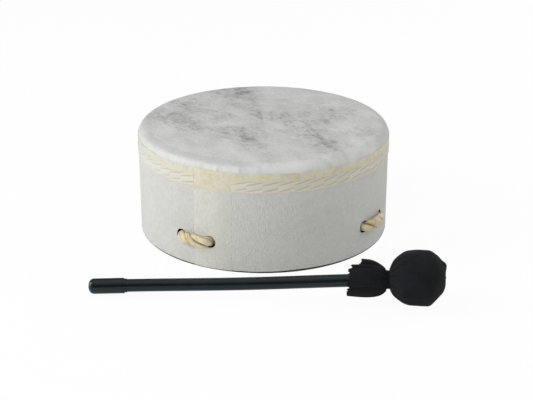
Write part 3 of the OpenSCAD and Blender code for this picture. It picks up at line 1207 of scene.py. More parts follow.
@lru_cache
def laid_cord_tree() -> Tree:
    """Makes the geometry tree that lays twisted strands round a line.

    Returns:
        The tree.
    """
    graph = Graph.group(
        "Laid Cord",
        "Geometry",
        {
            "Geometry": "Geometry", "Strands": 3, "Strand Radius": 0.002, "Lay Radius": 0.002,
            "Turns": 20.0, "Start": 0.0, "Wander": 0.0, "Waves": 19.0, "Flatness": 0.85,
            "Roughness": 0.0001, "Fibre": 0.0008, "Yarns": 7, "Yarn Height": 0.0, "Yarn Lay": 0.02,
            "Step": 0.001, "Sides": 16, "Upright": True, "Seed": 1, "Material": "Material",
        },
    )
    given = graph.given
    line = graph.geo("MeshToCurve", {0: given["Geometry"]})
    line = graph.geo("ResampleCurve", {"Curve": line, "Length": given["Step"]}, mode="LENGTH")
    level = graph.geo("SetCurveNormal", {0: line}, mode="Z_UP")
    free = graph.geo("SetCurveNormal", {0: line}, mode="MINIMUM_TWIST")
    line = graph.geo("Switch", {0: given["Upright"], 1: free, 2: level}, input_type="GEOMETRY")
    copies = {"Geometry": line, "Amount": given["Strands"]}
    lines, strand = graph.terms("GeometryNodeDuplicateElements", copies, domain="SPLINE")
    factor, length, _ = graph.terms("GeometryNodeSplineParameter")
    turned = factor * given["Turns"] + (strand / given["Strands"] + given["Start"])
    swing = graph.math("SINE", factor * (given["Waves"] * math.tau) + given["Seed"])
    phase = (swing * given["Wander"] + turned) * math.tau
    lines, phase, along, strand = graph.captured(lines, Phase=phase, Along=length, Strand=strand)
    normal = graph.geo("InputNormal")
    side = graph.vector("CROSS_PRODUCT", graph.geo("InputTangent"), normal)
    out = graph.vector(
        "ADD",
        graph.scaled(normal, graph.math("COSINE", phase)),
        graph.scaled(side, graph.math("SINE", phase)),
    )
    lines = graph.moved(lines, Offset=graph.scaled(out, given["Lay Radius"]))
    lines = graph.geo("SetCurveTilt", {"Curve": lines, "Tilt": phase})
    circle = graph.geo("CurvePrimitiveCircle", {"Resolution": given["Sides"], "Radius": 1.0})
    spot = graph.geo("InputPosition")
    circle, spot_kept = graph.captured(circle, Round=spot)
    flat = graph.vector("MULTIPLY", spot, graph.joined(given["Flatness"], 1.0, 1.0))
    profile = graph.moved(circle, Position=graph.scaled(flat, given["Strand Radius"]))
    tube = graph.geo("CurveToMesh", {"Curve": lines, "Profile Curve": profile, "Fill Caps": True})
    x, y, _ = graph.parts(spot_kept)
    tube = graph.stored(tube, LAY, graph.joined(x, y, along))
    tube = graph.stored(tube, TONE, graph.random(strand, given["Seed"]))
    radius = given["Strand Radius"]
    apart = graph.joined(x * radius, y * radius, along * 0.12 + strand)
    rough = graph.noise(apart, 1.0 / given["Fibre"], 1.0)
    wound = graph.math("ARCTAN2", y, x) * 0.5 - along / given["Yarn Lay"] * math.pi
    ridge = abs(graph.math("COSINE", wound * given["Yarns"]))
    lift = (ridge - 0.8) * given["Yarn Height"] + (rough - 0.55) * given["Roughness"]
    tube = graph.moved(tube, Offset=graph.scaled(graph.geo("InputNormal"), lift * 2.0))
    tube = graph.geo("RealizeInstances", {0: graph.geo("SetShadeSmooth", {0: tube})})
    return graph.close({"Geometry": graph.dressed(tube, given["Material"])})


@lru_cache
def strand_row_tree() -> Tree:
    """Makes the geometry tree of one flat row of slanted strands.

    Returns:
        The tree, whose row has X along, Y up and Z out.
    """
    graph = Graph.group(
        "Strand Row",
        "Geometry",
        {
            "Columns": 50, "Pitch": 0.012, "Low": 0.0, "Low Slant": 0.0, "Low Close": 0.0,
            "High": 0.005, "High Slant": 0.0, "High Close": 0.0, "Proud": 0.0007, "Seed": 1,
        },
    )
    given = graph.given
    index = graph.geo("InputIndex")
    start = graph.joined((index + 0.5) * given["Pitch"], 0.0)
    points = graph.geo("Points", {"Count": given["Columns"], "Position": start})
    points = graph.stored(points, TONE, graph.random(index, given["Seed"]))
    sizes = {"Size": (1.0, 1.0, 1.0), "Vertices X": 6, "Vertices Y": 4, "Vertices Z": 2}
    block = graph.geo("MeshCube", sizes)
    x, y, z = graph.parts(graph.geo("InputPosition"))
    along = x * (given["Pitch"] * 1.02)
    ends = abs(x * 2.0) ** 6.0
    low = along * given["Low Slant"] + given["Low"] - ends * given["Low Close"]
    high = ends * given["High Close"] + (along * given["High Slant"] + given["High"])
    up = (high - low) * (y + 0.5) + low
    crown = (1.0 - abs(y * 2.0) ** 3.0 * 0.6) * (1.0 - ends * 0.12)
    lap = 0.96 - x * 0.08
    out = (z + 0.5) * (crown * lap * given["Proud"])
    strand = graph.moved(block, Position=graph.joined(along, up, out))
    row = graph.geo("InstanceOnPoints", {"Points": points, "Instance": strand})
    return graph.close({"Geometry": graph.geo("RealizeInstances", {0: row})})


@lru_cache
def laced_band_tree() -> Tree:
    """Makes the geometry tree of three rows of strands on a backing, bent round the drum.

    Returns:
        The tree.
    """
    graph = Graph.group(
        "Laced Band",
        "Geometry",
        {
            "Geometry": "Geometry", "Columns": 50, "Radius": 0.1, "Start": 0.0, "Turn": 6.0,
            "Centre": (0.0, 0.0, 0.0), "Bottom": 0.065, "Lower Line": 0.068, "Upper Line": 0.073,
            "Top": 0.075, "Line Width": 0.0006, "Slant": 0.25, "Backing": 0.0002, "Proud": 0.0008,
            "Tapered End": 0.01, "Thin Edge": 0.0015, "Seed": 5, "Material": "Material",
            "Backing Material": "Material",
        },
    )
    given = graph.given
    bottom, top, slant = given["Bottom"], given["Top"], given["Slant"]
    lower, upper, half = given["Lower Line"], given["Upper Line"], given["Line Width"] * 0.5
    length = given["Turn"] * given["Radius"]
    pitch = length / given["Columns"]
    join = graph.node("GeometryNodeJoinGeometry")
    labels = ("Low", "Low Slant", "Low Close", "High", "High Slant", "High Close")
    rows = (
        (bottom, 0.0, 0.0, lower - half, slant, half),
        (lower + half, slant, half, upper - half, slant, half),
        (upper + half, slant, half, top, 0.0, 0.0),
    )
    for number, edges in enumerate(rows):
        values = dict(zip(labels, edges), Columns=given["Columns"], Pitch=pitch)
        values.update(Proud=given["Proud"], Seed=given["Seed"] + float(number))
        row = graph.geo("Group", values, node_tree=strand_row_tree())
        graph.feed(join.inputs[0], graph.dressed(row, given["Material"]))
    size = graph.joined(length, top - bottom, given["Backing"])
    back = graph.geo("MeshCube", {"Size": size, "Vertices X": 360, "Vertices Y": 5})
    middle = graph.joined(length * 0.5, (top + bottom) * 0.5, given["Backing"] * 0.5)
    back = graph.dressed(graph.moved(back, Offset=middle), given["Backing Material"])
    graph.feed(join.inputs[0], back)
    x, y, z = graph.parts(graph.geo("InputPosition"))
    angle = x / given["Radius"] + given["Start"]
    taper = graph.spread(x, 0.0, given["Tapered End"], 0.2, 1.0)
    taper *= graph.spread(y, bottom, bottom + given["Thin Edge"], 0.25, 1.0)
    reach = z * taper + given["Radius"]
    bent = graph.joined(reach * graph.math("COSINE", angle), reach * graph.math("SINE", angle), y)
    spot = graph.vector("ADD", bent, given["Centre"])
    band = graph.moved(Term(graph, join.outputs[0]), Position=spot)
    return graph.close({"Geometry": graph.geo("RealizeInstances", {0: band})})


@dataclass
class LaidCord:
    """A rope, cord or thread of twisted strands along a line, which may close on its start.

    Shares are of the diameter over the strands. A strand goes once round in a lay length. Start
    and wander are in turns: how far the strands are turned where the line starts, and how far the
    lay runs ahead and falls behind. Upright strands start from the top, which a level line needs.
    """

    name: str
    line: Array
    closed: bool
    finish: CordFinish
    diameter: float
    lay_length: float
    upright: bool = True
    sides: int = 8
    yarn_share: float = 0.0
    start: float = 0.0
    wander: float = 0.0
    seed: int = 1
    strands: int = 3
    yarns: int = 7
    yarn_lays: int = 3
    strand_share: float = 0.232
    overlap: float = 1.16
    flatness: float = 0.86
    rough_share: float = 0.036
    fibre_share: float = 0.09
    step_share: float = 0.11

    def build(self) -> Piece:
        """Lays the strands along the line.

        Returns:
            The piece.
        """
        ahead = np.roll(self.line, -1, axis=0) if self.closed else self.line[1:]
        length = np.linalg.norm(ahead - self.line[: len(ahead)], axis=1).sum()
        turns = float(max(1, round(length / self.lay_length)))
        strand = self.diameter * self.strand_share
        values = {
            "Strands": self.strands, "Strand Radius": strand * self.overlap,
            "Lay Radius": self.diameter / 2 - strand, "Turns": turns, "Start": self.start,
            "Wander": self.wander, "Flatness": self.flatness,
            "Roughness": self.diameter * self.rough_share, "Fibre": self.diameter * self.fibre_share,
            "Yarns": self.yarns, "Yarn Height": self.diameter * self.yarn_share,
            "Yarn Lay": self.lay_length * self.yarn_lays, "Step": self.diameter * self.step_share,
            "Sides": self.sides, "Upright": self.upright, "Seed": self.seed,
            "Material": self.finish.material(),
        }
        LOG.info("%s: %.0f mm of cord, %d turns of lay", self.name, length / MM, turns)
        return run_tree(self.name, self.line, self.closed, laid_cord_tree(), values)


@dataclass
class DrumShell:
    """The shell and what is glued round it.

    Waves are their number round the drum, phase and share. A fade is its start and its reach.
    """

    outer_r: float = 101.6 * MM
    wall: float = 7.9 * MM
    height: float = 88.9 * MM
    foot_round: float = 0.35 * MM
    film: float = 0.4 * MM
    edge_r: float = 7.5 * MM
    glue: float = 0.05 * MM
    butt: float = 0.2 * MM
    collar: float = 13 * MM
    wrap_t: float = 0.4 * MM
    wrap_low: float = 1.2 * MM
    wrap_round: float = 0.15 * MM
    rise: float = 0.75 * MM
    rise_bearing: float = 18.0
    rise_turn: float = 12.0
    rise_reach: float = 8 * MM
    foot_wave: float = 0.12 * MM
    foot_waves: int = 9
    foot_phase: float = 2.0
    tape_top: float = 82 * MM
    tape_w: float = 6.4 * MM
    tape_t: float = 0.4 * MM
    tape_round: float = 0.14 * MM
    tape_wave: float = 0.26 * MM
    tape_waves: Rows = ((23, 0.0, 1.0), (37, 1.3, 1.0), (61, 0.4, 0.8))
    tape_drop: float = 0.06 * MM
    tape_swell: float = 0.05 * MM
    swell_waves: int = 31
    swell_phase: float = 0.7
    tape_end: float = 0.3
    tape_end_turn: float = 5.0
    trim_w: float = 9.5 * MM
    trim_t: float = 0.8 * MM
    trim_lines: Span = (68.6 * MM, 73.8 * MM)
    trim_line_w: float = 0.5 * MM
    trim_slant: float = 13.0
    trim_back: float = 0.3 * MM
    trim_proud: float = 0.8
    trim_end: float = 10 * MM
    trim_thin: float = 1.5 * MM
    trim_seed: int = 5
    strip_t: float = 0.5 * MM
    strip_w: float = 30.7 * MM
    strip_round: float = 0.12 * MM
    strip_thin: float = 0.93
    strip_fade: Span = (0.6, 0.4)
    strip_edge: float = 0.45
    strip_soft: float = 0.03
    seam_bearing: float = -31.2
    hole_r: float = 5.5 * MM
    hole_cut: float = 5 * MM
    hole_z: float = 23 * MM
    hole_pitch: float = 26 * MM
    hole_sides: int = 48
    loop_turn: float = 89.3
    steps: int = 720
    head_rings: tuple[float, ...] = (0, 4, 12, 24, 38, 52, 66, 78, 87)
    pleats: tuple[float, ...] = (-20.3, -10.4)
    small_pleats: int = 26
    pleat_w: float = 0.7
    pleat_h: float = 0.32 * MM
    pleat_share: float = 2.0
    small_shares: Span = (0.15, 0.55)
    pleat_dip: float = 0.5
    dip_off: float = 1.6
    pleat_floor: float = -0.4
    pleat_low: Span = (3 * MM, 3 * MM)
    pleat_top: Span = (1.5 * MM, 4 * MM)
    pleat_seed: int = 11
    columns: int = 51
    skin_r: float = field(init=False)
    band_r: float = field(init=False)
    corner: float = field(init=False)
    strip_turn: float = field(init=False)
    hole_turn: float = field(init=False)

    def __post_init__(self) -> None:
        """Works out the radii of the layers and the turns of strip and holes."""
        self.skin_r = self.outer_r + self.glue
        self.band_r = self.skin_r + self.wrap_t + self.glue
        self.corner = self.edge_r + self.glue + self.film
        self.strip_turn = math.degrees(self.strip_w / self.band_r)
        self.hole_turn = math.degrees(math.asin(self.hole_pitch / 2 / self.outer_r))

    @property
    def tape_low(self) -> float:
        """Height at which the tape ends and the trim starts."""
        return self.tape_top - self.tape_w - self.butt

    @property
    def band_bearings(self) -> Span:
        """First and last bearing of the bands that butt the seam strip."""
        gap = math.degrees(self.butt / self.band_r)
        return self.seam_bearing + self.strip_turn + gap, self.seam_bearing + 360.0 - gap

    def build(self) -> None:
        """Makes the shell, the head and the side's dressing."""
        self.build_shell()
        self.build_head()
        self.build_wrap()
        self.build_strip()
        self.build_tape()
        self.build_trim()

    def swung(self, sections: Array, bearings: Array) -> Array:
        """Swings sections round the drum's axis.

        Args:
            sections: Radius and height of each point, for all bearings or for each.
            bearings: Bearings in degrees.

        Returns:
            Points by bearing and place in the section.
        """
        radius, height = sections[..., 0], sections[..., 1]
        turn = np.radians(bearings)[:, None]
        return stacked(AXIS.x + radius * np.sin(turn), AXIS.y - radius * np.cos(turn), height)

    def band_section(
        self, inner: float, outer: float, low: float, high: float, rounding: float
    ) -> Array:
        """Section of a band with rounded outer corners.

        Args:
            inner: Inner radius.
            outer: Outer radius.
            low: Lower edge.
            high: Upper edge.
            rounding: Radius of the outer corners.

        Returns:
            Radius and height of the section's points, all round it.
        """
        lower = arc(outer - rounding, low + rounding, rounding, -90.0, 0.0, 6)
        upper = arc(outer - rounding, high - rounding, rounding, 0.0, 90.0, 6)
        wall = stacked(outer, np.linspace(low + rounding, high - rounding, 8)[1:-1])
        return np.concatenate((lower, wall, upper, [(inner, high), (inner, low)]))

    def ring_piece(
        self, name: str, sections: Array, bearings: Array, closed: bool, finish: Finish
    ) -> Piece:
        """Makes a ring, or a part of one with closed ends.

        Args:
            name: The piece's name.
            sections: Radius and height of each point, for all bearings or for each.
            bearings: Bearings in degrees.
            closed: Whether the ring goes all round.
            finish: The piece's finish.

        Returns:
            The piece.
        """
        points = self.swung(sections, bearings)
        rows, cols = points.shape[:2]
        faces = grid_faces(rows, cols, closed, True).tolist()
        if not closed:
            first = list(range(cols))
            faces += [first, [(rows - 1) * cols + k for k in first]]
        return solid(name, points, faces, finish)

    def all_round(self) -> Array:
        """Bearings of a full ring."""
        return np.linspace(0.0, 360.0, self.steps, endpoint=False)

    def cut_holes(self, piece: Piece) -> Piece:
        """Cuts the rope holes out of a piece.

        Args:
            piece: The piece, which is closed.

        Returns:
            The piece with its holes, as a plain mesh.
        """
        a = np.linspace(0.0, math.tau, self.hole_sides, endpoint=False)
        across, level = self.hole_cut * np.cos(a), self.hole_z + self.hole_cut * np.sin(a)
        reach = np.array((self.outer_r - 2 * self.wall, self.outer_r + self.wall))[:, None]
        tube = grid_faces(2, self.hole_sides, False, True).tolist()
        tube += np.arange(2 * self.hole_sides).reshape(2, -1).tolist()
        points, faces = [], []
        for spot in (0.0, self.loop_turn, 180.0, 180.0 + self.loop_turn):
            for side in (-1.0, 1.0):
                turn = math.radians(self.seam_bearing + spot + side * self.hole_turn)
                x, y = math.sin(turn), -math.cos(turn)
                first = 2 * self.hole_sides * len(points)
                points.append(
                    stacked(AXIS.x + x * reach - y * across, AXIS.y + y * reach + x * across, level)
                )
                faces += [[first + number for number in face] for face in tube]
        cutter = solid("hole_cutter", np.array(points), faces, SHELL)
        modifier = piece.modifiers.new("Holes", "BOOLEAN")
        modifier.operation, modifier.solver, modifier.object = "DIFFERENCE", "EXACT", cutter
        settle(piece)
        bpy.data.objects.remove(cutter)
        return smooth(piece, 35.0)

    def build_shell(self) -> None:
        """Makes the fibre shell with its rope holes."""
        outer, inner, soft = self.outer_r, self.outer_r - self.wall, self.foot_round
        top = self.height - self.film - self.glue
        foot = [(inner + soft, 0.0), (outer - soft, 0.0), (outer, soft)]
        outside = stacked(outer, np.linspace(soft, top - self.edge_r, 10)[1:-1])
        over = arc(outer - self.edge_r, top - self.edge_r, self.edge_r, 0.0, 90.0, 9)
        inside = [(inner, top), (inner, top / 2), (inner, soft)]
        section = np.concatenate((foot, outside, over, inside))
        shell = self.ring_piece("shell_body", section, self.all_round()[::2], True, SHELL)
        place(self.cut_holes(shell), Body.DRUM, Slot.SHELL, "shell")

    def head_profile(self, inset: float) -> Array:
        """Radius and height from the axis to the collar's edge.

        Args:
            inset: Depth in the film.

        Returns:
            The profile's points.
        """
        level, middle = self.height - self.corner, self.skin_r + self.film - self.corner
        flat = stacked(np.array(self.head_rings) * MM, self.height - inset)
        bend = arc(middle, level, self.corner - inset, 90.0, 0.0, 17)
        fall = np.linspace(level, self.height - self.collar, 9)[1:]
        return np.concatenate((flat, bend, stacked(self.skin_r + self.film - inset, fall)))

    def build_head(self) -> None:
        """Makes the film: flat, rounded over the shell's edge, and pleated on its collar."""
        bearings = self.all_round()
        upper, under = self.head_profile(0.0), self.head_profile(self.film)
        sections = np.repeat(np.concatenate((upper, under[::-1]))[None], len(bearings), axis=0)
        radius, height = upper.T
        low = self.height - self.collar
        window = ease(height - low, *self.pleat_low) * ease(self.height - height, *self.pleat_top)
        window = np.where(radius > self.skin_r + self.film - self.corner, window, 0.0)
        draw = np.random.default_rng(self.pleat_seed)
        spots = [(bearing, self.pleat_share) for bearing in self.pleats]
        spots += [
            (draw.uniform(-180, 180), draw.uniform(*self.small_shares)) for _ in range(self.small_pleats)
        ]
        lift = np.zeros(len(bearings))
        for bearing, share in spots:
            off = off_bearing(bearings, bearing)
            lift += share * bell(off, self.pleat_w)
            lift -= self.pleat_dip * share * bell(off - self.dip_off * self.pleat_w, self.pleat_w)
        lift = np.maximum(lift, self.pleat_floor)
        sections[:, : len(upper), 0] += lift[:, None] * window * self.pleat_h
        points = self.swung(sections, bearings)
        faces = grid_faces(*points.shape[:2], True, False)
        place(solid("drumhead_film", points, faces, FILM), Body.DRUM, Slot.FILM, "drumhead")

    def build_wrap(self) -> None:
        """Makes the fabric round the shell."""
        high, outer = self.height - self.collar - self.butt, self.skin_r + self.wrap_t
        plain = self.band_section(self.skin_r, outer, self.wrap_low, high, self.wrap_round)
        bearings = self.all_round()
        sections = np.repeat(plain[None], len(bearings), axis=0)
        rise = self.rise * bell(off_bearing(bearings, self.rise_bearing), self.rise_turn)
        wave = np.sin(self.foot_waves * np.radians(bearings) + self.foot_phase)
        rise += self.foot_wave * (1.0 + wave)
        foot = 1.0 - ease(plain[:, 1], self.wrap_low, self.rise_reach)
        sections[..., 1] += rise[:, None] * foot[None]
        wrap = self.ring_piece("shell_fabric", sections, bearings, True, WRAP)
        place(self.cut_holes(wrap), Body.DRUM, Slot.WRAP, "shell_wrap")

    def leaned(self, sections: Array) -> Array:
        """Leans a band's upper edge in, so that it follows the film over the shell's edge.

        Args:
            sections: Radius and height of the band's points, which are changed.

        Returns:
            The same sections.
        """
        rise = np.clip(sections[..., 1] - (self.height - self.corner), 0.0, self.corner)
        sections[..., 0] -= self.corner - np.sqrt(self.corner**2 - rise**2)
        return sections

    def build_strip(self) -> None:
        """Makes the seam strip, crisp on its left edge and thin on its right."""
        bearings = np.linspace(self.seam_bearing, self.seam_bearing + self.strip_turn, 90)
        share = (bearings - self.seam_bearing) / self.strip_turn
        thick = self.strip_t * (1.0 - self.strip_thin * ease(share, *self.strip_fade))
        thick *= 1.0 - self.strip_edge * (1.0 - ease(share, 0.0, self.strip_soft))
        edges = self.wrap_low, self.tape_top
        sections = np.stack([
            self.band_section(self.band_r, self.band_r + t, *edges, min(self.strip_round, 0.4 * t))
            for t in thick
        ])
        strip = self.ring_piece("seam_strip_fabric", self.leaned(sections), bearings, False, STRIP)
        place(self.cut_holes(strip), Body.DRUM, Slot.STRIP, "seam_strip")

    def build_tape(self) -> None:
        """Makes the plain tape, with slightly wavy edges."""
        first, last = self.band_bearings
        bearings = np.linspace(first, last, self.steps)
        low, high, inner = self.tape_low, self.tape_top, self.band_r
        plain = self.band_section(inner, inner + self.tape_t, low, high, self.tape_round)
        sections = np.repeat(plain[None], len(bearings), axis=0)
        turn = np.radians(bearings)
        wave = sum(size * np.sin(count * turn + phase) for count, phase, size in self.tape_waves)
        share = (plain[:, 1] - low) / (high - low)
        sections[..., 1] += self.tape_wave * wave[:, None] * np.maximum(2 * share - 1.0, 0.0)[None]
        sections[..., 1] -= self.tape_drop * share[None]
        swell = self.tape_swell * (np.sin(self.swell_waves * turn + self.swell_phase) - 1.0)
        outside = plain[:, 0] > inner + 0.5 * self.tape_t
        sections[..., 0] += swell[:, None] * outside[None]
        taper = self.tape_end + (1.0 - self.tape_end) * ease(bearings, first, self.tape_end_turn)
        sections[..., 0] = inner + (sections[..., 0] - inner) * taper[:, None]
        tape = self.ring_piece("tan_edge_tape", self.leaned(sections), bearings, False, TAPE)
        place(tape, Body.DRUM, Slot.TAPE, "edge_tape")

    def build_trim(self) -> None:
        """Makes the laced trim in rows of slanted strands."""
        first, last = self.band_bearings
        lower, upper = self.trim_lines
        values = {
            "Columns": self.columns, "Radius": self.band_r, "Centre": tuple(AXIS),
            "Start": math.radians(first - 90.0), "Turn": math.radians(last - first),
            "Bottom": self.tape_low - self.trim_w, "Lower Line": lower, "Upper Line": upper,
            "Top": self.tape_low, "Line Width": self.trim_line_w,
            "Slant": math.tan(math.radians(self.trim_slant)), "Backing": self.trim_back,
            "Proud": self.trim_proud * self.trim_t, "Tapered End": self.trim_end,
            "Thin Edge": self.trim_thin, "Seed": self.trim_seed,
            "Material": STRANDS.material(), "Backing Material": BACKING.material(),
        }
        line = np.array([(0.0, 0.0, 0.0), (0.0, 0.0, 0.001)])
        trim = run_tree("laced_trim", line, False, laced_band_tree(), values)
        place(smooth(trim, 50.0), Body.DRUM, Slot.TRIM, "woven_trim")


@dataclass
class RopeGrip:
    """Two rope loops that cross inside the shell, and the lashing that holds them."""

    shell: DrumShell
    rope_d: float = 8 * MM
    rope_gap: float = 0.3 * MM
    strand_gap: float = 0.45 * MM
    level_share: float = 0.8
    rope_lay: float = 26 * MM
    rope_sides: int = 28
    yarns: float = 0.055
    taut: float = 1.0 * MM
    pressed: float = 0.62
    swell: float = 0.26
    cord_d: float = 3 * MM
    cord_lay: float = 9 * MM
    turns: int = 4
    turn_gap: float = 0.8 * MM
    start_ease: float = 4 * MM
    wave_flat: float = 1.5
    strand_off: float = field(init=False)
    lash_r0: float = field(init=False)
    grip_half: float = field(init=False)

    def __post_init__(self) -> None:
        """Works out where strands and turns lie."""
        self.strand_off = (self.rope_d + self.strand_gap) / 2
        reach = math.sqrt(2.0) * (self.strand_off + self.rope_d / 2)
        self.lash_r0 = reach + self.rope_gap + self.cord_d / 2 + self.start_ease
        self.grip_half = self.lash_r0 + self.turns * (self.cord_d + self.turn_gap) + self.cord_d

    def build(self) -> None:
        """Makes both loops and the lashing."""
        bearing, level = self.shell.seam_bearing, self.shell.hole_z
        for name, turn, off, start, wander, seed in (
            ("rope_loop_lower", 0.0, -self.strand_off, 0.12, 0.1, 3),
            ("rope_loop_upper", self.shell.loop_turn, self.strand_off, 0.0, 0.06, 8),
        ):
            line = self.turned(self.rope_line(level + off), bearing + turn)
            rope = LaidCord(
                f"{name}_laid", line, True, ROPE, self.rope_d, self.rope_lay, sides=self.rope_sides,
                yarn_share=self.yarns, start=start, wander=wander, seed=seed,
            ).build()
            self.press(rope)
            place(rope, Body.DRUM, Slot.ROPE, name)
        line = self.turned(self.lash_line(), bearing)
        cord = LaidCord("grip_lashing_cord", line, False, LASHING, self.cord_d, self.cord_lay, seed=4)
        place(cord.build(), Body.DRUM, Slot.LASHING, "grip_lashing")

    def press(self, rope: Piece) -> None:
        """Presses a loop's outside stretches flat against the drum.

        Args:
            rope: The loop, whose points are moved.
        """
        points = np.empty(3 * len(rope.data.vertices), np.float32)
        rope.data.vertices.foreach_get("co", points)
        points = points.reshape(-1, 3)
        flat = points[:, :2] - np.array(AXIS)[:2]
        reach = np.linalg.norm(flat, axis=1)
        out = np.maximum(reach - self.shell.band_r - self.shell.strip_t, 0.0)
        points[:, :2] -= flat / reach[:, None] * ((1.0 - self.pressed) * out)[:, None]
        swell = 1.0 + self.swell * ease(out / (self.rope_d / 2))
        points[:, 2] = self.shell.hole_z + (points[:, 2] - self.shell.hole_z) * swell
        rope.data.vertices.foreach_set("co", points.ravel())
        rope.data.update()

    def turned(self, line: Array, bearing: float) -> Array:
        """A line that was drawn along X, turned to a bearing on the drum."""
        return spun(line, math.radians(bearing - 90.0)) + np.array(AXIS)

    def rope_line(self, level: float) -> Array:
        """Middle line of one loop along X.

        Args:
            level: Height of the strands in the grip.

        Returns:
            Points round the loop, which closes on its start.
        """
        shell = self.shell
        hole_r, hole_z = shell.hole_r, shell.hole_z
        span_r = shell.band_r + shell.strip_t + self.rope_gap + self.rope_d / 2
        mid_r = span_r - hole_r
        swing = math.radians(shell.hole_turn) - math.atan((hole_r + self.taut) / mid_r)
        bend_u = mid_r * math.cos(swing) - hole_r * math.sin(swing)
        bend_v = mid_r * math.sin(swing) + hole_r * math.cos(swing)
        run = bend_u - self.grip_half
        straight = stacked(np.linspace(0.0, self.grip_half, 24, endpoint=False), self.strand_off, level)
        t = np.linspace(0.0, 1.0, 48, endpoint=False)
        sideways = self.strand_off + (bend_v - self.strand_off) * ease(t)
        sideways += run * math.tan(swing) * t * t * (t - 1.0)
        rise = level + (hole_z - level) * ease(t / self.level_share)
        blend = stacked(self.grip_half + run * t, sideways, rise)
        bend = stacked(*arc(mid_r, 0.0, hole_r, 90.0, 0.0, 13)[:-1].T, hole_z)
        span = stacked(*arc(0.0, 0.0, span_r, math.degrees(swing), 0.0, 10).T, hole_z)
        quarter = np.concatenate((straight, blend, spun(bend, swing), span))
        mirror = quarter * (1.0, -1.0, 1.0)
        half = np.concatenate((mirror[:-1], quarter[:0:-1]))
        return np.concatenate((half, half * (-1.0, -1.0, 1.0)))

    def lash_line(self) -> Array:
        """Middle line of the lashing.

        Returns:
            Points of a spiral that goes over one loop and under the other.
        """
        a = np.linspace(0.0, self.turns * math.tau, self.turns * 120 + 1)
        radius = self.lash_r0 + (self.cord_d + self.turn_gap) * a / math.tau
        x = np.clip(-self.wave_flat * np.cos(2 * a), -1.0, 1.0)
        lift = self.strand_off + self.rope_d / 2 + self.rope_gap + self.cord_d / 2
        z = self.shell.hole_z + lift * x * (3 - x * x) / 2
        return stacked(radius * np.cos(a), radius * np.sin(a), z)


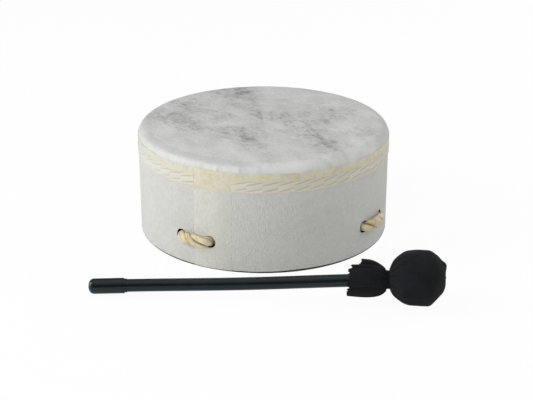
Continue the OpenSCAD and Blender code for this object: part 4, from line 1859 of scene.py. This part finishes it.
@dataclass
class Mallet:
    """The mallet: rod, end cap and a padded head under a tied cloth.

    Lumps of the head are turn, height in mm and width. Creases of the skirt are turn, width and
    depth. The cut is turn and length of the skirt in mm. All turns are in degrees from the top.
    Gather waves are height, number and phase. A span is its first angle from the head's far end,
    and its reach, in degrees.
    """

    shell: DrumShell
    length: float = 264 * MM
    sides: int = 96
    rod_r: float = 4.75 * MM
    rod_bow: float = 0.75 * MM
    rod_round: float = 0.3 * MM
    bow_end: float = 20 * MM
    fit: float = 0.1 * MM
    cap_wall: float = 1 * MM
    cap_len: float = 28.5 * MM
    cap_end: float = 4 * MM
    cap_dome: float = 3 * MM
    cap_round: float = 3.8 * MM
    cap_step: float = 0.62 * MM
    cap_step_len: float = 2 * MM
    cap_soft: float = 0.18 * MM
    head_r: float = 20.5 * MM
    head_square: float = 0.92
    core_hole: float = 5 * MM
    core_r: float = 13.3 * MM
    felt_room: float = 0.6 * MM
    cover_t: float = 0.9 * MM
    soft_gap: float = 0.3 * MM
    tie_d: float = 0.9 * MM
    tie_lay: float = 3 * MM
    tie_turns: int = 2
    tie_gap: float = 0.5 * MM
    tie_room: float = 0.4 * MM
    tie_lift: float = 0.15 * MM
    tie_shift: float = 0.8 * MM
    tie_close: float = 0.1 * MM
    notch_room: float = 0.1 * MM
    back_r: float = 21.6 * MM
    ball_lift: float = 0.55 * MM
    lip_r: float = 8 * MM
    skirt_r: float = 14 * MM
    skirt_len: float = 29 * MM
    skirt_flare: float = 5.2 * MM
    upper_flare: float = 1.4 * MM
    upper_reach: float = 12 * MM
    skirt_lift: float = 1.7 * MM
    skirt_drop: float = 0.9 * MM
    skirt_gather: float = 0.7 * MM
    skirt_gather_reach: float = 8 * MM
    crease_h: float = 2.4 * MM
    crease_reach: float = 11 * MM
    gather_count: int = 13
    gather_waves: Rows = ((1.3, 3, 0.0), (0.8, 2, 1.0))
    gather_mid: float = 0.4
    fold_h: float = 1.3 * MM
    ridge_h: float = 0.16 * MM
    lip_ridge_h: float = 0.3 * MM
    ridge_mid: float = 0.2
    lump_start: float = 0.05
    lump_span: Span = (140.0, 16.0)
    swell_span: Span = (92.0, 40.0)
    tuck_span: Span = (100.0, 60.0)
    lift_span: Span = (90.0, 60.0)
    lump_waves: tuple[float, ...] = (3.0, 4.5, 6.0, 7.5, 9.0)
    lump_wave_h: float = 0.12
    lump_seed: int = 23
    up_turn: float = 66.7
    lumps: Rows = (
        (23, 2.1, 10), (46, 0.8, 11), (65, 1.1, 11), (114, 0.7, 11), (-97, -0.5, 12),
        (-70, 0.8, 9), (-47, -0.6, 10), (-3, -0.5, 10), (-130, -0.9, 18),
    )
    creases: Rows = (
        (29, 6, 1.0), (48, 5, 0.55), (116, 8, 0.8), (168, 9, 0.9), (-142, 10, 1.0),
        (-100, 8, 0.8), (-58, 9, 1.0),
    )
    cut: tuple[Span, ...] = (
        (-180, 29.5), (-140, 29.0), (-90, 26.0), (-45, 21.0), (-26, 18.0), (24, 18.0), (32, 25.2),
        (45, 25.8), (52, 28.0), (90, 27.2), (112, 27.8), (122, 29.3), (180, 29.5),
    )
    teeth: int = 40
    tooth: float = 0.75 * MM
    gap: float = 50.8 * MM
    shift: float = 112.8 * MM
    turn: float = 4.43
    around: int = 320
    frame_at: Matrix = field(init=False)

    def __post_init__(self) -> None:
        """Works out where the mallet lies: head and cap both touch the floor."""
        cap_r = self.rod_r + self.cap_wall
        tilt = math.asin((self.head_r - cap_r) / (self.length - self.head_r - self.cap_dome))
        front = self.shell.band_r + self.shell.trim_t + self.gap
        spot = AXIS + Vector((self.shift, -front, self.head_r))
        self.frame_at = (
            Matrix.Translation(spot)
            @ Matrix.Rotation(math.radians(-self.turn), 4, "Z")
            @ Matrix.Rotation(-tilt, 4, "Y")
        )

    @property
    def tip(self) -> float:
        """Place of the cap's end along the mallet."""
        return self.head_r - self.length

    @property
    def neck_r(self) -> float:
        """Radius of the cloth at the neck."""
        return self.rod_r + self.soft_gap + self.cover_t

    @property
    def tie_pitch(self) -> float:
        """Step of the drawn-tight thread from turn to turn."""
        return self.tie_d + self.tie_close

    @property
    def neck_mid(self) -> float:
        """Place of the drawn-tight tie's middle.

        Returns:
            The length along the mallet.
        """
        start = -math.sqrt(self.head_r**2 - self.neck_r**2)
        loose_half = (self.tie_turns * (self.tie_d + self.tie_gap) + self.tie_d) / 2
        return start - self.tie_room - loose_half - self.tie_shift

    @property
    def notch_half(self) -> float:
        """Half the width of the notch that the tie draws into the cloth."""
        return (self.tie_turns * self.tie_pitch + self.tie_d) / 2 + self.notch_room

    @property
    def ball_mid(self) -> float:
        """Place of the ball's middle, so that its cloth ends at the notch."""
        return self.neck_mid + self.notch_half + math.sqrt(self.back_r**2 - self.lip_r**2)

    def build(self) -> None:
        """Makes the mallet's pieces."""
        self.build_rod()
        self.build_cap()
        self.dress_core()
        self.build_padding()
        self.build_cover()
        self.build_tie()

    def set_down(self, points: Array) -> Array:
        """Points along the mallet's own axis, moved to where it lies."""
        turn = np.array(self.frame_at)
        return points @ turn[:3, :3].T + turn[:3, 3]

    def turned(self, name: str, profile: Array, finish: Finish, sharp: float) -> Piece:
        """Makes a piece that is turned on the mallet's axis.

        Args:
            name: The piece's name.
            profile: Length and radius of the outline, from axis to axis.
            finish: The piece's finish.
            sharp: Angle in degrees above which an edge stays crisp.

        Returns:
            The piece.
        """
        a = np.linspace(0.0, math.tau, self.sides, endpoint=False)[:, None]
        x, r = profile.T[:, None]
        lay = stacked(np.cos(a), np.sin(a), x)
        faces = grid_faces(self.sides, len(profile), True, False)
        return solid(name, self.set_down(self.ringed(x, r, a)), faces, finish, lay, sharp)

    def build_rod(self) -> None:
        """Makes the rod, with softly broken ends and a slight bow."""
        first, last, soft = self.tip + self.cap_end, self.core_hole, self.rod_round
        side = stacked(np.linspace(first + soft, last - soft, 64), self.rod_r)
        start = [(first, 0.0), (first, self.rod_r - soft)]
        end = [(last, self.rod_r - soft), (last, 0.0)]
        rod = self.turned("black_rod", np.concatenate((start, side, end)), ROD, 50.0)
        mouth, skirt = self.tip + self.cap_len, self.neck_mid - self.bow_end
        for point, lay in zip(rod.data.vertices, rod.data.attributes[LAY].data):
            share = min(max((lay.vector.z - mouth) / (skirt - mouth), 0.0), 1.0)
            point.co.z -= self.rod_bow * math.sin(math.pi * share) ** 2
        place(rod, Body.MALLET, Slot.ROD, "mallet_rod")

    def build_cap(self) -> None:
        """Makes the end cap: domed end, small lip and step at its mouth."""
        outer, dome, soft = self.rod_r + self.cap_wall, self.cap_round, self.cap_soft
        mouth, lip_r = self.tip + self.cap_len, outer - self.cap_step
        shoulder = mouth - self.cap_step_len
        bore, floor = self.rod_r + self.fit, self.tip + self.cap_end - self.fit
        profile = np.concatenate((
            [(self.tip, 0.0)],
            arc(self.tip + dome, outer - dome, dome, 180.0, 90.0, 13),
            stacked(np.linspace(self.tip + dome, shoulder - soft, 14)[1:-1], outer),
            arc(shoulder - soft, outer - soft, soft, 90.0, 0.0, 5),
            [(shoulder, lip_r)],
            arc(mouth - soft, lip_r - soft, soft, 90.0, 0.0, 5),
            [(mouth, bore), (floor, bore), (floor, 0.0)],
        ))
        cap = self.turned("rod_end_cap", profile, CAP, 35.0)
        place(cap, Body.MALLET, Slot.CAP, "mallet_end_cap")

    def dress_core(self) -> None:
        """Gives the firm core, which stays as it is, its finish."""
        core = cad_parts["mallet_core"]
        core.data.materials.clear()
        core.data.materials.append(CORE.material())
        LOG.info("mallet_core: dressed, on %s", Body.MALLET.value)

    def build_padding(self) -> None:
        """Makes the felt layer between the core and the cover."""
        outer = self.head_r - self.cover_t - self.soft_gap - self.felt_room
        outer_end, inner_end = (
            180.0 - math.degrees(math.asin((self.rod_r + self.fit) / radius))
            for radius in (outer, self.core_r)
        )
        outside = arc(0.0, 0.0, outer, 0.0, outer_end, 40)
        inside = arc(0.0, 0.0, self.core_r, inner_end, 0.0, 24)
        felt = self.turned("felt_padding", np.concatenate((outside, inside)), FELT, 50.0)
        place(felt, Body.MALLET, Slot.FELT, "mallet_padding")

    def build_cover(self) -> None:
        """Makes the cloth over the head, gathered at the neck, with its cut skirt."""
        a = np.linspace(0.0, math.tau, self.around, endpoint=False)
        outer = np.concatenate((self.head_rows(a), self.neck_rows(a), self.skirt_rows(a)))
        rows = np.concatenate((outer, self.inset(outer, self.cover_t)[::-1]))
        along = np.concatenate(([0.0], np.linalg.norm(np.diff(rows[:, 0], axis=0), axis=-1))).cumsum()
        lay = stacked(np.cos(a)[None], np.sin(a)[None], along[:, None])
        faces = grid_faces(len(rows), self.around, False, True)
        lying = self.set_down(rows)
        lying[..., 2] = np.maximum(lying[..., 2], 0.0)
        cover = solid("head_cover_cloth", lying, faces, CLOTH, lay, 60.0)
        place(cover, Body.MALLET, Slot.CLOTH, "mallet_cover")

    def gathers(self, a: Array) -> Array:
        """Works out the gathers at the neck.

        Args:
            a: Turns round the mallet.

        Returns:
            -1 in their sharp valleys to 1 on their round backs.
        """
        wander = self.gather_count * a
        wander += sum(size * np.sin(count * a + phase) for size, count, phase in self.gather_waves)
        return 2.0 * np.abs(np.cos(wander / 2)) - 1.0

    def ringed(self, x: Array, r: Array, a: Array) -> Array:
        """Points from lengths and radii, by row and turn."""
        return stacked(x, r * np.cos(a), r * np.sin(a))

    def lumpy(self, way: Array) -> Array:
        """How far the padding stands out or in.

        Args:
            way: Directions from the ball's middle.

        Returns:
            The length out, for each direction.
        """
        draw = np.random.default_rng(self.lump_seed)
        total = np.zeros(way.shape[:2])
        for size in self.lump_waves:
            wave = draw.normal(size=3)
            wave *= size / np.linalg.norm(wave)
            total += self.lump_wave_h * np.cos(way @ wave + draw.uniform(0.0, math.tau))
        up = math.radians(self.up_turn)
        for turn, height, width in self.lumps:
            t = math.radians(turn)
            spot = np.array((math.cos(t), math.sin(t) * math.cos(up), math.sin(t) * math.sin(up)))
            off = np.degrees(np.arccos(np.clip(way @ spot, -1.0, 1.0)))
            total += height * bell(off, width)
        return total * MM

    def head_rows(self, a: Array) -> Array:
        """Rows of the ball: square far half, soft lumps, and gathers towards the neck.

        Args:
            a: Turns round the mallet.

        Returns:
            Points by row and turn.
        """
        last = math.pi - math.asin(self.lip_r / self.back_r)
        polar = np.linspace(0.0, last, 64, endpoint=False)[:, None]
        degrees = np.degrees(polar)
        power = np.where(polar < math.pi / 2, self.head_square, 1.0)
        x = np.sign(np.cos(polar)) * np.abs(np.cos(polar)) ** power
        r = np.sin(polar) ** power
        lumps = self.lumpy(self.ringed(np.cos(polar), np.sin(polar), a))
        lumps *= (1.0 - ease(degrees, *self.lump_span)) * ease(polar, 0.0, self.lump_start)
        swell = (self.back_r - self.head_r) * ease(degrees, *self.swell_span)
        scale = self.head_r + swell + lumps
        tuck = self.fold_h * ease(degrees, *self.tuck_span)
        folds = tuck * (self.gathers(a) - self.gather_mid)[None] * np.sin(polar)
        rows = self.ringed(self.ball_mid + scale * x, scale * r + folds, a)
        up = math.radians(self.up_turn)
        lift = self.ball_lift * (1.0 - ease(degrees, *self.lift_span))
        rows[..., 1] += lift * math.cos(up)
        rows[..., 2] += lift * math.sin(up)
        return rows

    def neck_rows(self, a: Array) -> Array:
        """Rows of the notch that the tie draws in, with a lip on each side.

        Args:
            a: Turns round the mallet.

        Returns:
            Points by row and turn.
        """
        across = np.linspace(1.0, -1.0, 21, endpoint=False)[:, None]
        lip = np.abs(across) ** 3
        ridge = self.ridge_h + self.lip_ridge_h * lip
        r = self.neck_r + (self.lip_r - self.neck_r) * lip
        r = r + ridge * (self.gathers(a) - self.ridge_mid)[None]
        return self.ringed(self.neck_mid + self.notch_half * across, r, a)

    def skirt_rows(self, a: Array) -> Array:
        """Rows of the skirt: broad flaps between creases, cut with a toothed edge.

        Args:
            a: Turns round the mallet.

        Returns:
            Points by row and turn.
        """
        t = np.linspace(0.0, 1.0, 42)[:, None] ** 1.15
        top = off_bearing(np.degrees(a), self.up_turn)
        turns, reach = np.array(self.cut).T
        cut = np.interp(top, turns, reach * MM) - self.notch_half
        tooth = np.abs((a / math.tau * self.teeth) % 1.0 - 0.5) * 4.0 - 1.0
        d = t * cut[None] + self.tooth * tooth[None] * t**10
        share, up = d / self.skirt_len, np.cos(np.radians(top))
        r = self.lip_r + (self.skirt_r - self.lip_r) * (1.0 - np.exp(-d / self.skirt_flare))
        r += self.skirt_lift * share**1.4 * up[None] - self.skirt_drop * share**2
        r += self.upper_flare * (np.maximum(up, 0.0) ** 1.5)[None] * ease(d, 0.0, self.upper_reach)
        crease = sum(depth * bell(off_bearing(top, spot), width) for spot, width, depth in self.creases)
        r -= self.crease_h * crease[None] * ease(d, 0.0, self.crease_reach)
        gather = self.skirt_gather * (self.gathers(a) - self.gather_mid)
        r += gather[None] * np.exp(-d / self.skirt_gather_reach)
        return self.ringed(self.neck_mid - self.notch_half - d, r, a)

    def inset(self, rows: Array, depth: float) -> Array:
        """The cloth's inner face.

        Args:
            rows: Points of its outer face, by row and turn.
            depth: Thickness of the cloth.

        Returns:
            The points, moved inwards.
        """
        around = np.roll(rows, -1, axis=1) - np.roll(rows, 1, axis=1)
        normal = np.cross(np.gradient(rows, axis=0), around)
        normal /= np.maximum(np.linalg.norm(normal, axis=-1, keepdims=True), 1e-12)
        outwards = np.sum(normal * rows * (0.0, 1.0, 1.0), axis=-1)
        normal = np.where(np.median(outwards) > 0, normal, -normal)
        normal[0] = (1.0, 0.0, 0.0)
        return rows - depth * normal

    def build_tie(self) -> None:
        """Makes the thread wound round the neck."""
        a = np.linspace(0.0, self.tie_turns * math.tau, self.tie_turns * 72 + 1)
        radius = self.neck_r + self.tie_lift + self.tie_d / 2
        x = self.neck_mid + self.tie_pitch * (a / math.tau - self.tie_turns / 2)
        line = self.set_down(self.ringed(x, radius, a))
        tie = LaidCord(
            "neck_tie_thread", line, False, THREAD, self.tie_d, self.tie_lay, upright=False, seed=2
        )
        place(tie.build(), Body.MALLET, Slot.THREAD, "mallet_tie")


class Lamp(NamedTuple):
    """A soft lamp: bearing and height in degrees, distance, side, watts, and if gloss shows it."""

    name: str
    bearing: float
    height: float
    far: float
    size: float
    power: float
    mirrored: bool


@dataclass
class Studio:
    """Camera, floor and soft light."""

    lens: float = 85.33
    sensor: float = 36.0
    eye: tuple[float, float, float] = (0.0, -0.9782, 0.4212)
    aim: tuple[float, float, float] = (0.00248, 0.0, 0.01921)
    ambient: float = 0.45
    floor_half: float = 3.0
    floor_white: float = 0.945
    floor_mirror: float = 0.3
    room_dim: float = 0.85
    room_edge: Span = (0.98, 0.6)
    lamp_aim: float = 0.05
    lamps: tuple[Lamp, ...] = (
        Lamp("key_left", -80.0, 30.0, 1.3, 0.75, 9.8, True),
        Lamp("fill_front", -15.0, 15.0, 1.5, 1.2, 6.3, False),
        Lamp("fill_right", 110.0, 30.0, 1.3, 0.9, 5.7, True),
    )

    def build(self) -> None:
        """Sets up the scene round the object."""
        bpy.context.scene.view_settings.view_transform = "Standard"
        self.build_camera()
        self.build_floor()
        self.build_world()
        for lamp in self.lamps:
            self.build_lamp(lamp)

    def build_camera(self) -> None:
        """Makes the camera at the photograph's viewing angle."""
        data = bpy.data.cameras.new("photo_view")
        data.lens, data.sensor_width = self.lens, self.sensor
        camera = linked("photo_view", data)
        camera.location = AXIS + Vector(self.eye)
        look = AXIS + Vector(self.aim) - camera.location
        camera.rotation_euler = look.to_track_quat("-Z", "Y").to_euler()
        bpy.context.scene.camera = camera

    def seen(self, graph: Graph, mirrored: float = 1.0) -> Term:
        """Works out how far a ray sees white.

        Args:
            graph: The floor or the world under construction.
            mirrored: How far a reflection sees it.

        Returns:
            The share, which is 1 for the camera and behind clear things.
        """
        camera, glossy, through = (
            graph.term("ShaderNodeLightPath", out=f"Is {ray} Ray")
            for ray in ("Camera", "Glossy", "Transmission")
        )
        return graph.math("MAXIMUM", camera, graph.math("MAXIMUM", glossy * mirrored, through))

    def build_floor(self) -> None:
        """Makes the pale floor, which reads white and keeps the object's shadow."""
        half = self.floor_half
        corners = [(-half, -half, 0.0), (half, -half, 0.0), (half, half, 0.0), (-half, half, 0.0)]
        mesh = bpy.data.meshes.new("floor")
        mesh.from_pydata(corners, [], [(0, 1, 2, 3)])
        material = bpy.data.materials.new("pale_floor")
        graph = Graph.fresh(material)
        pale = graph.term("ShaderNodeBsdfDiffuse", {"Color": tint(246, 246, 246)})
        white = graph.term("ShaderNodeEmission", {"Color": WHITE, "Strength": 1.0})
        share = self.seen(graph, self.floor_mirror) * self.floor_white
        mixed = graph.term("ShaderNodeMixShader", {0: share, 1: pale, 2: white})
        graph.node("ShaderNodeOutputMaterial", {"Surface": mixed})
        mesh.materials.append(material)
        linked("floor", mesh)

    def build_world(self) -> None:
        """Makes a white surround, dim low down in reflections, and soft light for the object."""
        world = bpy.data.worlds.new("studio")
        graph = Graph.fresh(world)
        z = graph.parts(graph.term("ShaderNodeTexCoord", out="Generated"))[2]
        glossy = graph.term("ShaderNodeLightPath", out="Is Glossy Ray")
        shown = 1.0 - graph.spread(z, *self.room_edge) * self.room_dim * glossy
        soft, white = (
            graph.term("ShaderNodeBackground", {"Color": WHITE, "Strength": strength})
            for strength in (self.ambient, shown)
        )
        mixed = graph.term("ShaderNodeMixShader", {0: self.seen(graph), 1: soft, 2: white})
        graph.node("ShaderNodeOutputWorld", {"Surface": mixed})
        bpy.context.scene.world = world

    def build_lamp(self, lamp: Lamp) -> None:
        """Makes a soft lamp that points at the drum.

        Args:
            lamp: The lamp's place, size and power.
        """
        data = bpy.data.lights.new(lamp.name, "AREA")
        data.size, data.energy = lamp.size, lamp.power
        made = linked(lamp.name, data)
        turn, lift = math.radians(lamp.bearing), math.radians(lamp.height)
        way = Vector(
            (math.sin(turn) * math.cos(lift), -math.cos(turn) * math.cos(lift), math.sin(lift))
        )
        made.location = AXIS + Vector((0.0, 0.0, self.lamp_aim)) + way * lamp.far
        made.rotation_euler = (-way).to_track_quat("-Z", "Y").to_euler()
        made.visible_glossy = lamp.mirrored


def main() -> None:
    """Builds the studio, the drum and the mallet, in that order."""
    logging.basicConfig(level=logging.INFO, format="%(name)s: %(message)s")
    Studio().build()
    shell = DrumShell()
    shell.build()
    RopeGrip(shell).build()
    Mallet(shell).build()


if __name__ == "__main__":
    main()
